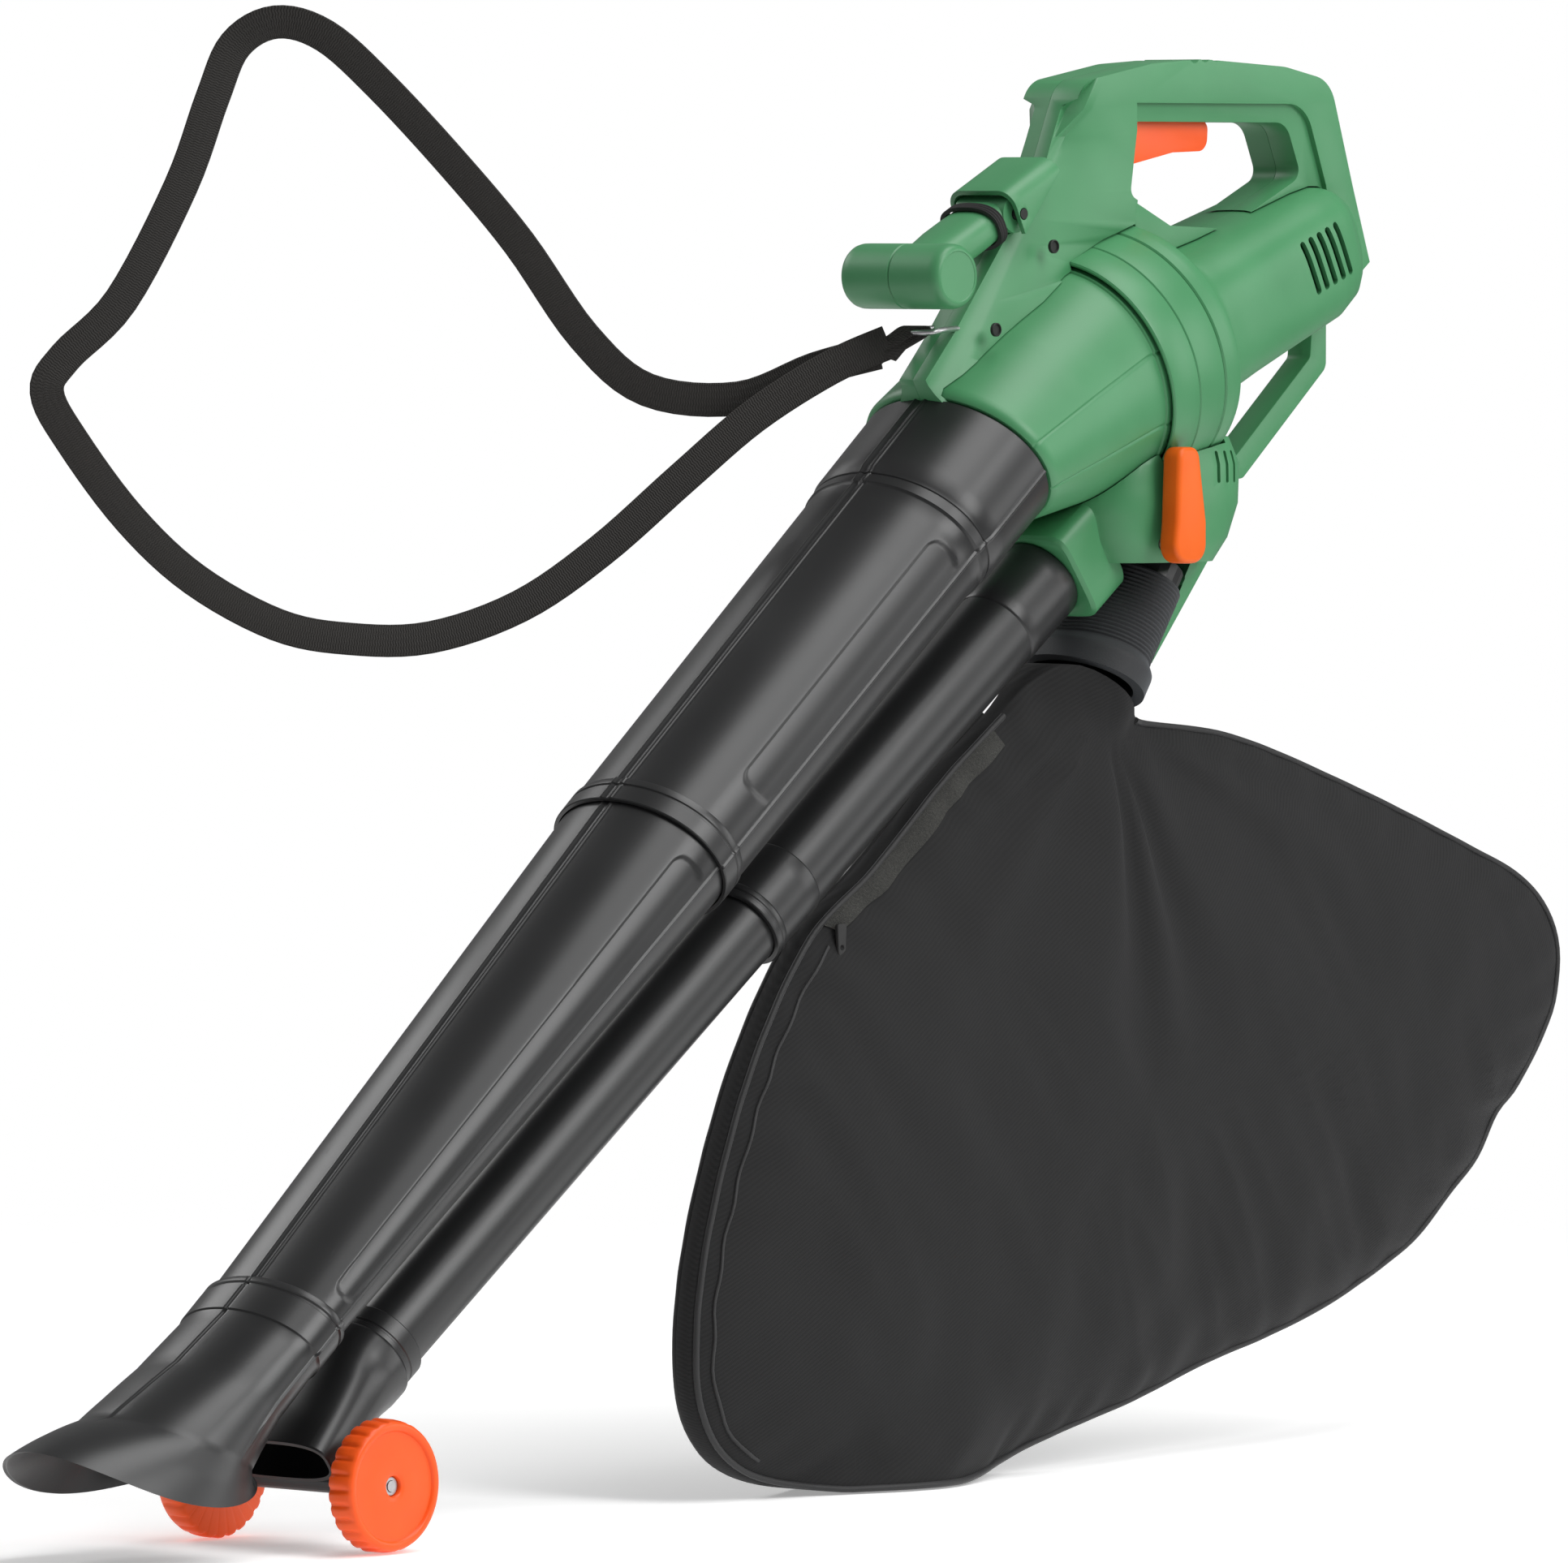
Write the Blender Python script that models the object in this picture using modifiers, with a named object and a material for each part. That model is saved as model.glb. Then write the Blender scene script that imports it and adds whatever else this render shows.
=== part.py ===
"""Leaf vacuum mulcher: electric blower unit on oval suction tubes with a blow tube, wheels, bag and strap.

Everything is drawn in a side view: x runs rearward along the machine, z up, y to the machine's right. The
drawing's numbers are in millimetres and MM turns them into metres. Four working frames carry the parts:
the suction tube, the blow tube, the motor axis and the bag spigot.
"""

import math

import bmesh
import bpy
from mathutils import Matrix, Vector

MM = 0.001

# Driving dimensions, in millimetres and degrees.
DATUM_X = -43.7  # puts the middle of the overall length at x = 0
GAP = 0.3  # between neighbouring parts
TUBE_MOUTH = (150.5, 591)  # centre of the housing mouth that takes the suction tube
TUBE_PITCH = 39
BLOW_OFFSET = (13, -99.6)  # blow tube's upper end, along and across the suction tube
BLOW_PITCH = 36.56
FAN_CENTRE = (255, 638)  # middle of the fan case's front rim, on the motor axis
MOTOR_PITCH = 19
SPIGOT_TOP = (305, 530)
SPIGOT_TURN = 123.9  # turns the x axis to run down the bag spigot
GRIP_CENTRE = (108, 699)  # front T grip
AUX_PIVOT = (180, 735)
TRIGGER_PIVOT = (291, 792)
LEVER_PIVOT = (273, 543)
AXLE = (-402, 37)
WHEEL_RADIUS = 37
WHEEL_FACE = 75  # outer face of a wheel, from the middle plane
WHEEL_WIDTH = 17
AXLE_RADIUS = 3.1
HANDLE_HALF = 21  # half the handle's width
FAN_RADIUS = 76
MOTOR_REAR = 230  # rear end of the motor housing, along the motor axis
BAG_CENTRE = (270, 215)
RING_STEPS = 28

COLOURS = {
    "green_plastic": ((0.075, 0.26, 0.12), 0.42, 0.0),
    "black_plastic": ((0.018, 0.018, 0.019), 0.35, 0.0),
    "orange_plastic": ((0.95, 0.16, 0.02), 0.4, 0.0),
    "black_rubber": ((0.02, 0.02, 0.02), 0.75, 0.0),
    "steel": ((0.6, 0.6, 0.62), 0.3, 1.0),
    "copper": ((0.7, 0.35, 0.2), 0.35, 1.0),
    "bag_fabric": ((0.012, 0.012, 0.013), 0.85, 0.0),
    "strap_webbing": ((0.014, 0.013, 0.012), 0.8, 0.0),
}


def clear_scene():
    for obj in list(bpy.data.objects):
        bpy.data.objects.remove(obj)


def make_materials():
    materials = {}
    for name, (colour, roughness, metallic) in COLOURS.items():
        material = bpy.data.materials.new(name)
        material.use_nodes = True
        shader = material.node_tree.nodes["Principled BSDF"]
        shader.inputs["Base Color"].default_value = (*colour, 1)
        shader.inputs["Roughness"].default_value = roughness
        shader.inputs["Metallic"].default_value = metallic
        material.diffuse_color = (*colour, 1)
        materials[name] = material
    return materials


def make_collection(name):
    collection = bpy.data.collections.new(name)
    bpy.context.scene.collection.children.link(collection)
    return collection


clear_scene()
MATERIALS = make_materials()
PARTS = make_collection("leaf_vacuum_mulcher")
CUTTERS = make_collection("cutters")


def shift(x, z, y=0):
    return Matrix.Translation((x * MM, y * MM, z * MM))


def turn(degrees, axis="Y"):
    return Matrix.Rotation(math.radians(degrees), 4, axis)


DRAWING = shift(DATUM_X, 0)
TUBE = DRAWING @ shift(*TUBE_MOUTH) @ turn(-TUBE_PITCH)
BLOW = TUBE @ shift(*BLOW_OFFSET) @ turn(TUBE_PITCH - BLOW_PITCH)
MOTOR = DRAWING @ shift(*FAN_CENTRE) @ turn(-MOTOR_PITCH)
SPIGOT = DRAWING @ shift(*SPIGOT_TOP) @ turn(SPIGOT_TURN)
ARM_PITCH = math.degrees(math.atan2(AUX_PIVOT[1] - GRIP_CENTRE[1], AUX_PIVOT[0] - GRIP_CENTRE[0]))
ARM_LENGTH = math.dist(AUX_PIVOT, GRIP_CENTRE)
ARM = DRAWING @ shift(*AUX_PIVOT) @ turn(-ARM_PITCH)


def add_object(name, mesh, material, frame, cutter=False):
    obj = bpy.data.objects.new(name, mesh)
    obj.matrix_world = frame
    if material:
        mesh.materials.append(MATERIALS[material])
    if cutter:
        CUTTERS.objects.link(obj)
        obj.hide_render = True
        obj.display_type = "WIRE"
    else:
        PARTS.objects.link(obj)
    return obj


def mesh_from(bm, name):
    bmesh.ops.recalc_face_normals(bm, faces=bm.faces)
    mesh = bpy.data.meshes.new(name)
    bm.to_mesh(mesh)
    bm.free()
    return mesh


def oval(along, across, a, b, tilt=0, sag=0, power=2, steps=RING_STEPS):
    """One section of a tube: a is half its height, b half its width; sag drops its sides."""
    lean = math.radians(tilt)
    ring = []
    for step in range(steps):
        angle = 2 * math.pi * step / steps
        up = math.copysign(abs(math.cos(angle)) ** (2 / power), math.cos(angle))
        side = math.copysign(abs(math.sin(angle)) ** (2 / power), math.sin(angle))
        drop = sag * math.sin(angle) ** 2
        ring.append(
            Vector(
                (
                    along - a * up * math.sin(lean) - drop * math.sin(math.radians(TUBE_PITCH)),
                    b * side,
                    across + a * up * math.cos(lean) - drop * math.cos(math.radians(TUBE_PITCH)),
                )
            )
            * MM
        )
    return ring


def bridge(bm, first, second):
    count = len(first)
    for i in range(count):
        j = (i + 1) % count
        bm.faces.new((first[i], first[j], second[j], second[i]))


def loft(name, rings, material, frame, cutter=False):
    """A solid through rings of equal point counts, with flat ends."""
    bm = bmesh.new()
    loops = [[bm.verts.new(point) for point in ring] for ring in rings]
    for first, second in zip(loops, loops[1:]):
        bridge(bm, first, second)
    bm.faces.new(loops[0])
    bm.faces.new(loops[-1])
    return add_object(name, mesh_from(bm, name), material, frame, cutter)


def shell(name, outer, inner, material, frame):
    """A tube wall: the outer rings one way, the inner rings back, joined at both ends."""
    bm = bmesh.new()
    loops = [[bm.verts.new(point) for point in ring] for ring in outer + inner[::-1]]
    for first, second in zip(loops, loops[1:] + loops[:1]):
        bridge(bm, first, second)
    return add_object(name, mesh_from(bm, name), material, frame)


def turned(name, profile, material, frame, steps=32, cutter=False):
    """A profile of (radius, distance along the frame's x axis), closed on itself and turned by a Screw."""
    turning = sum(r0 * z1 - r1 * z0 for (r0, z0), (r1, z1) in zip(profile, profile[1:] + profile[:1]))
    if turning > 0:
        profile = profile[::-1]
    bm = bmesh.new()
    verts = [bm.verts.new((radius * MM, 0, along * MM)) for radius, along in profile]
    on_axis = [radius == 0 for radius, along in profile]
    for i, vert in enumerate(verts):
        j = (i + 1) % len(verts)
        if not (on_axis[i] and on_axis[j]):
            bm.edges.new((vert, verts[j]))
    mesh = bpy.data.meshes.new(name)
    bm.to_mesh(mesh)
    bm.free()
    obj = add_object(name, mesh, material, frame @ turn(90), cutter)
    screw = obj.modifiers.new("turn", "SCREW")
    screw.steps = steps
    screw.render_steps = steps
    screw.use_merge_vertices = True
    screw.merge_threshold = 0.00001
    return obj


def rounded(corners):
    """Corner points (x, z) or (x, z, radius) turned into a closed outline with round corners."""
    outline = []
    count = len(corners)
    for i, corner in enumerate(corners):
        here = Vector(corner[:2])
        radius = corner[2] if len(corner) > 2 else 0
        if not radius:
            outline.append(here)
            continue
        before = (Vector(corners[i - 1][:2]) - here).normalized()
        after = (Vector(corners[(i + 1) % count][:2]) - here).normalized()
        half = before.angle(after) / 2
        reach = radius / math.tan(half)
        centre = here + (before + after).normalized() * radius / math.sin(half)
        start = here + before * reach - centre
        end = here + after * reach - centre
        for step in range(5):
            outline.append(centre + start.slerp(end, step / 4).normalized() * radius)
    return outline


def plate(name, outlines, low, high, material, frame=DRAWING, bevel=0.0, cutter=False, widen=None):
    """A flat outline in the side view, holes after it, filled and given a width from y = low to high."""
    curve = bpy.data.curves.new(name, "CURVE")
    curve.dimensions = "2D"
    curve.fill_mode = "BOTH"
    curve.extrude = (high - low) / 2 * MM
    for corners in outlines:
        points = rounded(corners)
        spline = curve.splines.new("POLY")
        spline.points.add(len(points) - 1)
        for point, place in zip(spline.points, points):
            point.co = (place.x * MM, place.y * MM, 0, 1)
        spline.use_cyclic_u = True
    flat = bpy.data.objects.new(name + "_outline", curve)
    CUTTERS.objects.link(flat)
    bpy.context.view_layer.update()
    mesh = bpy.data.meshes.new_from_object(flat.evaluated_get(bpy.context.evaluated_depsgraph_get()))
    bpy.data.objects.remove(flat)
    bm = bmesh.new()
    bm.from_mesh(mesh)
    bmesh.ops.remove_doubles(bm, verts=bm.verts, dist=0.00001)
    bmesh.ops.dissolve_limit(bm, angle_limit=0.001, verts=bm.verts, edges=bm.edges)
    stand = Matrix.Translation((0, (low + high) / 2 * MM, 0)) @ turn(90, "X")
    bmesh.ops.transform(bm, matrix=stand, verts=bm.verts)
    if widen:
        bmesh.ops.triangulate(bm, faces=bm.faces)
        for vert in bm.verts:
            vert.co.y *= widen(vert.co.x / MM, vert.co.z / MM)
    mesh.clear_geometry()
    bmesh.ops.recalc_face_normals(bm, faces=bm.faces)
    bm.to_mesh(mesh)
    bm.free()
    mesh.materials.clear()
    obj = add_object(name, mesh, material, frame, cutter)
    if bevel:
        edges = obj.modifiers.new("round", "BEVEL")
        edges.width = bevel * MM
        edges.segments = 2
        edges.limit_method = "ANGLE"
        edges.angle_limit = math.radians(50)
    return obj


def boolean(obj, other, operation="DIFFERENCE"):
    step = obj.modifiers.new(other.name, "BOOLEAN")
    step.operation = operation
    step.object = other
    step.solver = "EXACT"


def rod(name, radius, start, end, material, place, cutter=False, bore=0.0, steps=20):
    """A round bar across the machine from y = start to end at a place in the side view."""
    frame = DRAWING @ shift(*place) @ turn(90, "Z")
    if bore:
        profile = [(bore, start), (radius, start), (radius, end), (bore, end)]
    else:
        profile = [(0, start), (radius, start), (radius, end), (0, end)]
    return turned(name, profile, material, frame, steps, cutter)


def circle_ring(along, radius, across=0.0, steps=RING_STEPS):
    return oval(along, across, radius, radius, steps=steps)


def in_drawing(frame, ring):
    """A ring of one of the working frames, expressed in the drawing's own frame."""
    step = DRAWING.inverted() @ frame
    return [step @ point for point in ring]


# Suction tubes ------------------------------------------------------------------------------------
WALL = 2.4
UPPER_TUBE = ((28, 44.2, 61.2), (0, 44.2, 61.2), (-0.5, 48.8, 65.8), (-64, 48.4, 65.4),
              (-66, 47.4, 64.2), (-74, 47.2, 64), (-75, 46.2, 62.8), (-334, 44.4, 60.2),
              (-335, 45.6, 61.4), (-351, 45.6, 61.4))
UPPER_BORE = ((28, 41.8, 58.8), (-300, 41.6, 57.4), (-321, 43.2, 59), (-351, 43.2, 59))
LOWER_TUBE = ((-322, 42.6, 58.4), (-352, 42.4, 58.2), (-733, 26.2, 48.2), (-759, 26, 48))
COLLAR = ((-734, 29, 51), (-762, 29, 51), (-764, 27.6, 49.6))


def suction_tubes():
    shell("upper_suction_tube", [oval(s, 0, a, b) for s, a, b in UPPER_TUBE],
          [oval(s, 0, a, b) for s, a, b in UPPER_BORE], "black_plastic", TUBE)
    shell("lower_suction_tube", [oval(s, 0, a, b) for s, a, b in LOWER_TUBE],
          [oval(s, 0, a - WALL, b - WALL) for s, a, b in LOWER_TUBE], "black_plastic", TUBE)


def nozzle_rings(wall):
    rings = [oval(s, 0, a - wall, b - wall) for s, a, b in COLLAR]
    rings.append(oval(-802, 1.5, 31 - wall, 51.5 - wall, tilt=10))
    rings.append(oval(-845, 4, 44 - wall, 56 - wall, tilt=27, sag=4))
    rings.append(oval(-868, 14.5, 77 - wall, 62 - wall, tilt=44, sag=22))
    return rings


def suction_nozzle():
    seat = [oval(-734, 0, 26.6, 48.6), oval(-760, 0, 26.6, 48.6)]
    shell("suction_nozzle", nozzle_rings(0), seat + nozzle_rings(WALL)[2:], "black_plastic", TUBE)


# Blow tube ----------------------------------------------------------------------------------------
def blow_tubes():
    outer = ((24, 24.6), (0, 24.6), (-0.5, 26.5), (-50, 26.5), (-51, 25.7), (-280, 25.4),
             (-281, 26.2), (-318, 26.4), (-319, 27.2), (-326, 27.2))
    bore = ((24, 22.2), (-285, 22.2), (-295, 24.3), (-326, 24.3))
    shell("upper_blow_tube", [circle_ring(t, r, steps=24) for t, r in outer],
          [circle_ring(t, r, steps=24) for t, r in bore], "black_plastic", BLOW)
    lower = ((-296, 23.8), (-720, 22.4))
    shell("lower_blow_tube", [circle_ring(t, r, steps=24) for t, r in lower],
          [circle_ring(t, r - WALL, steps=24) for t, r in lower], "black_plastic", BLOW)


def blow_nozzle():
    outer = [circle_ring(-692, 25.4, steps=24), circle_ring(-707, 25.4, steps=24),
             circle_ring(-709, 27.4, steps=24), circle_ring(-722, 27.4, steps=24),
             oval(-745, 2, 22, 32, power=2.4, steps=24), oval(-800, 4, 15, 44, power=3.2, steps=24)]
    inner = [circle_ring(-692, 23, steps=24), circle_ring(-721, 23, steps=24),
             oval(-745, 2, 19.6, 29.6, power=2.4, steps=24), oval(-800, 4, 12.6, 41.6, power=3.2, steps=24)]
    shell("blow_nozzle", outer, inner, "black_plastic", BLOW)


# Wheels -------------------------------------------------------------------------------------------
BRACKET_HALF = 52


def wheels():
    bracket = rod("axle_bracket", 6.6, -BRACKET_HALF, BRACKET_HALF, "black_plastic", AXLE, steps=24)
    saddle = plate("axle_saddle", [[(-406, 37), (-398, 37), (-384, 46), (-392, 56)]], -36, 36, None,
                   cutter=True)
    boolean(bracket, saddle, "UNION")
    boolean(bracket, rod("axle_bore", AXLE_RADIUS + 0.4, -60, 60, None, AXLE, cutter=True, steps=24))
    clearance = loft("blow_nozzle_clearance", [oval(-722, 0, 28, 33, steps=24),
                     oval(-745, 2, 22.6, 33, power=2.4, steps=24),
                     oval(-801, 4, 15.4, 45, power=3.2, steps=24)], None, BLOW, cutter=True)
    boolean(bracket, clearance)
    tip = WHEEL_FACE - 3
    rod("axle", AXLE_RADIUS, -tip, tip, "steel", AXLE, steps=24)
    inner = WHEEL_FACE - WHEEL_WIDTH
    for side, sign in (("left", -1), ("right", 1)):
        frame = DRAWING @ shift(*AXLE) @ turn(90 * sign, "Z")
        rim = [(AXLE_RADIUS + 0.4, inner), (WHEEL_RADIUS, inner), (WHEEL_RADIUS - 1.8, WHEEL_FACE - 1.5),
               (WHEEL_RADIUS - 3, WHEEL_FACE), (WHEEL_RADIUS - 7, WHEEL_FACE),
               (WHEEL_RADIUS - 8, WHEEL_FACE - 1.5), (5.6, WHEEL_FACE - 1.5), (5.6, WHEEL_FACE - 5.5),
               (AXLE_RADIUS + 0.4, WHEEL_FACE - 5.5)]
        turned(side + "_wheel", rim, "orange_plastic", frame, steps=40)
        clip = [(AXLE_RADIUS + 0.3, WHEEL_FACE - 5.1), (5, WHEEL_FACE - 5.1), (5, WHEEL_FACE - 3.6),
                (AXLE_RADIUS + 0.3, WHEEL_FACE - 3.6)]
        turned(side + "_axle_clip", clip, "steel", frame, steps=16)


# Fan case and intake ------------------------------------------------------------------------------
CONE_MIDDLE = DRAWING @ shift(200, 615) @ turn(-29)


def cone_rings(wall):
    return [
        in_drawing(TUBE, oval(0.4, 0, 50.6 - wall, 67.6 - wall)),
        in_drawing(TUBE, oval(5, 0, 52 - wall, 68.6 - wall)),
        in_drawing(CONE_MIDDLE, oval(0, 0, 60.5 - wall, 69.5 - wall)),
        in_drawing(MOTOR, circle_ring(-8, 68.5 - wall)),
        in_drawing(MOTOR, circle_ring(8.6, 69 - wall)),
    ]


def fan_case():
    inner = cone_rings(3)
    inner[0] = in_drawing(TUBE, oval(0.4, 0, 44.8, 61.8))
    inner[1] = in_drawing(TUBE, oval(29, 0, 45, 62))
    shell("intake_cone", cone_rings(0), inner, "green_plastic", DRAWING)
    front = [(50, 9), (71.4, 9), (71.4, 0), (FAN_RADIUS - 2, 0), (FAN_RADIUS, 22), (73, 22), (72.5, 12),
             (50, 12)]
    turned("fan_case_front", front, "green_plastic", MOTOR, steps=36)
    rear = [(73, 22 + GAP), (FAN_RADIUS, 22 + GAP), (FAN_RADIUS + 1, 45), (46, 45), (46, 42), (73.4, 42)]
    turned("fan_case_rear", rear, "green_plastic", MOTOR, steps=36)


def impeller():
    vanes = 8
    star = []
    for vane in range(vanes):
        middle = Vector((math.cos(2 * math.pi * vane / vanes), math.sin(2 * math.pi * vane / vanes)))
        across = Vector((-middle.y, middle.x)) * 2
        root = middle * 15
        tip = middle * 64
        star += [tuple(root - across), tuple(tip - across), tuple(tip + across), tuple(root + across)]
    hub = [(4.4, 14), (17, 14), (17, 35), (66, 35), (66, 38.5), (4.4, 38.5)]
    body = turned("impeller", hub, "steel", MOTOR, 36)
    hole = [(-8, -8, 7.9), (8, -8, 7.9), (8, 8, 7.9), (-8, 8, 7.9)]
    boolean(body, plate("impeller_vanes", [star, hole], -36.5, -16, None, MOTOR @ turn(90, "Z"), cutter=True),
            "UNION")


def motor_internals():
    turned("motor_shaft", [(0, 4), (4, 4), (4, 205), (0, 205)], "steel", MOTOR, 16)
    rings = (
        ("impeller_nut", 8, 6, 13.6, "steel"), ("front_bearing", 11, 66, 75, "steel"),
        ("armature", 27, 84, 138, "copper"), ("commutator", 11, 146, 164, "copper"),
        ("cooling_fan", 30, 170, 182, "black_plastic"), ("rear_bearing", 10, 192, 200, "steel"),
    )
    for name, radius, start, end, material in rings:
        turned(name, [(4.4, start), (radius, start), (radius, end), (4.4, end)], material, MOTOR, 20)
    turned("motor_flange", [(11.4, 66), (44, 66), (44, 72), (11.4, 72)], "black_plastic", MOTOR, 24)
    turned("stator", [(28.5, 82), (34.6, 82), (34.6, 140), (28.5, 140)], "steel", MOTOR, 24)
    for side, sign in (("left", -1), ("right", 1)):
        ends = sorted((11.6 * sign, 30 * sign))
        plate(side + "_brush_holder", [[(150, -4), (160, -4), (160, 4), (150, 4)]], *ends,
              "copper", MOTOR)


# Motor housing ------------------------------------------------------------------------------------
HOUSING = ((45.4, 0, 77, 77, 2), (60, 0, 77, 77, 2), (63, 0, 72, 73, 2), (72, 3, 50, 61, 2.6),
           (110, 4, 44, 57, 3.2), (200, 5, 41, 48, 3.4), (222, 7, 37, 43, 3.4), (MOTOR_REAR, 8, 31, 37, 3))


def housing_rings(offset):
    return [oval(s, n, a + offset, b + offset, power=p) for s, n, a, b, p in HOUSING]


def half_section(outer, inner, sign):
    """One side of a ring, cut at the middle plane: the outer arc and the inner arc back."""
    half = RING_STEPS // 2
    picks = range(half + 1) if sign > 0 else [-i for i in range(half + 1)]
    ends = Vector((0, sign * GAP / 2 * MM, 0))
    arcs = []
    for ring in (outer, inner):
        arc = [ring[i].copy() for i in picks]
        arc[0] += ends
        arc[-1] += ends
        arcs.append(arc)
    return arcs[0] + arcs[1][::-1]


def motor_housing():
    vents = []
    for slot in range(5):
        along = 164 + 9 * slot
        vents.append(plate(f"vent_{slot}", [[(along, 26), (along + 4.6, 27), (along + 8.6, -6),
                     (along + 4, -7)]], -80, 80, None, MOTOR, cutter=True))
    for side, sign in (("left", -1), ("right", 1)):
        rings = [half_section(o, i, sign) for o, i in zip(housing_rings(0), housing_rings(-3))]
        half = loft("motor_housing_" + side, rings, "green_plastic", MOTOR)
        for vent in vents:
            boolean(half, vent)
    rear = [oval(MOTOR_REAR + GAP, 8, 30, 36, power=3), oval(MOTOR_REAR + 4, 8, 28, 34, power=3)]
    loft("motor_rear_cover", rear, "green_plastic", MOTOR)


def case_clearance():
    """Solids a little larger than the round cases, which the handle and outlet are trimmed with."""
    fan = turned("fan_clearance", [(0, -0.5), (FAN_RADIUS - 1.4, -0.5), (FAN_RADIUS + 1.6, 45),
                 (FAN_RADIUS + 1.6, 61), (0, 61)], None, MOTOR, 36, cutter=True)
    cone = loft("cone_clearance", cone_rings(-0.75), None, DRAWING, cutter=True)
    rings = housing_rings(1)
    rings.append(oval(MOTOR_REAR + 4.6, 8, 30, 36, power=3))
    motor = loft("motor_clearance", rings, None, MOTOR, cutter=True)
    return cone, fan, motor


# Handle -------------------------------------------------------------------------------------------
HANDLE_OUTER = ((113, 641), (138, 669), (216, 764, 30), (237, 812, 20), (300, 822), (346, 825), (421, 822),
                (463, 814, 26), (484, 751), (500, 706), (488, 697), (455, 712), (300, 690), (250, 690),
                (190, 640), (125, 626))
FINGER_HOLE = ((287, 789, 6), (426, 789, 14), (440, 757, 8), (372, 726, 10), (320, 728), (279, 746, 6))
HANDLE_HOLLOW = ((228, 748), (274, 754), (282, 801), (430, 801), (430, 816), (300, 817), (246, 807))


def column_width(x, z):
    """The front column spreads towards its foot."""
    foot = max(0.0, 780 - z) * max(0.0, min(1.0, (300 - x) / 60))
    return 1 + foot / 400


def handle(clearances):
    slot = plate("trigger_slot", [[(284, 786), (368, 786), (368, 802), (284, 802)]], -12, 12, None,
                 cutter=True)
    spring_room = plate("spring_room", [[(283, 786), (299, 786), (299, 802), (283, 802)]], -15.5, 15.5,
                        None, cutter=True)
    knuckle_room = rod("knuckle_room", 12.4, -60, 60, None, AUX_PIVOT, cutter=True)
    for side, sign in (("left", -1), ("right", 1)):
        ends = sorted((GAP / 2 * sign, HANDLE_HALF * sign))
        half = plate("handle_" + side, [HANDLE_OUTER, FINGER_HOLE], *ends, "green_plastic",
                     bevel=4, widen=column_width)
        ends = sorted((-sign, (HANDLE_HALF - 3.5) * sign))
        hollow = plate("handle_hollow_" + side, [HANDLE_HOLLOW], *ends, None, cutter=True)
        for cutter in (*clearances, hollow, slot, spring_room, knuckle_room):
            boolean(half, cutter)


def trigger():
    outline = [(285.5, 797, 3), (300, 797), (303, 789.6), (362, 789.6, 5), (361, 772, 8), (330, 771),
               (293, 764, 2), (288, 780)]
    body = plate("trigger", [outline], -11, 11, "orange_plastic", bevel=2)
    boolean(body, rod("trigger_bore", 2.4, -20, 20, None, TRIGGER_PIVOT, cutter=True, steps=12))
    rod("trigger_pin", 2, -15.2, 15.2, "steel", TRIGGER_PIVOT, steps=12)
    rod("trigger_spring", 4.6, 11.8, 14.6, "steel", TRIGGER_PIVOT, bore=2.4, steps=12)
    plate("trigger_switch", [[(302, 803), (338, 803), (338, 815), (302, 815)]], -9, 9, "black_plastic",
          bevel=0.6)


# Front T grip -------------------------------------------------------------------------------------
def front_grip():
    grip_x = -ARM_LENGTH
    arm_rings = [oval(grip_x + 15, 0, 11, 17.5, power=2.6), oval(-44, 0, 11.6, 19.5, power=2.6),
                 oval(-6, 0, 10.8, 18.8, power=2.6)]
    arm = loft("front_grip_arm", arm_rings, "green_plastic", ARM)
    boolean(arm, rod("knuckle", 11, -19, 19, None, AUX_PIVOT, cutter=True), "UNION")
    boolean(arm, rod("arm_bore", 3.5, -40, 40, None, AUX_PIVOT, cutter=True, steps=16))
    grip_clearance = rod("grip_clearance", 19.4, -60, 60, None, GRIP_CENTRE, cutter=True, steps=32)
    boolean(arm, grip_clearance)
    across = DRAWING @ shift(*GRIP_CENTRE) @ turn(90, "Z")
    halves = (("front_grip_left", -1, 38), ("front_grip_right", 1, 38))
    for name, sign, length in halves:
        end = length * sign
        profile = [(0, GAP / 2 * sign), (19, GAP / 2 * sign), (19, end - 3 * sign), (16.5, end), (0, end)]
        turned(name, profile, "green_plastic", across, steps=32)
    ring = [oval(s, 0, 14.2, 22.4, power=2.6) for s in (-20, -14)]
    hole = [oval(s, 0, 11.9, 20.1, power=2.6) for s in (-20, -14)]
    shell("arm_seal", ring, hole, "black_rubber", ARM)
    rod("aux_pin", 3.1, -25.6, 25.6, "steel", AUX_PIVOT, steps=16)


def hood(clearances):
    """The socket that the arm swings in: two cheeks and a roof, open below."""
    section = []
    for offset in (0, 3):
        wide = 25.4 - offset
        high = 17 - offset
        arc = [(wide, -11), (wide, 6), (wide - 3, high - 2.5), (wide - 8, high)]
        section.append(arc + [(-y, z) for y, z in arc[::-1]])
    outline = section[0] + section[1][::-1]
    rings = [[Vector((along, y, z)) * MM for y, z in outline] for along in (-4, 40)]
    roof = loft("grip_socket", rings, "green_plastic", ARM)
    column = plate("column_clearance", [[(112.6, 641.4), (137.6, 669.4), (215.5, 764.4), (300, 800),
                   (300, 640), (120, 600)]], -60, 60, None, cutter=True)
    for cutter in (column, *clearances):
        boolean(roof, cutter)
    boolean(roof, rod("socket_bore", 3.5, -40, 40, None, AUX_PIVOT, cutter=True, steps=16))


# Outlet, lever and bag neck -----------------------------------------------------------------------
OUTLET = ((604, 240, 356, 52), (588, 236, 363, 56), (565, 233, 361, 57), (545, 238, 352, 55),
          (531, 246, 340, 51))


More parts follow.
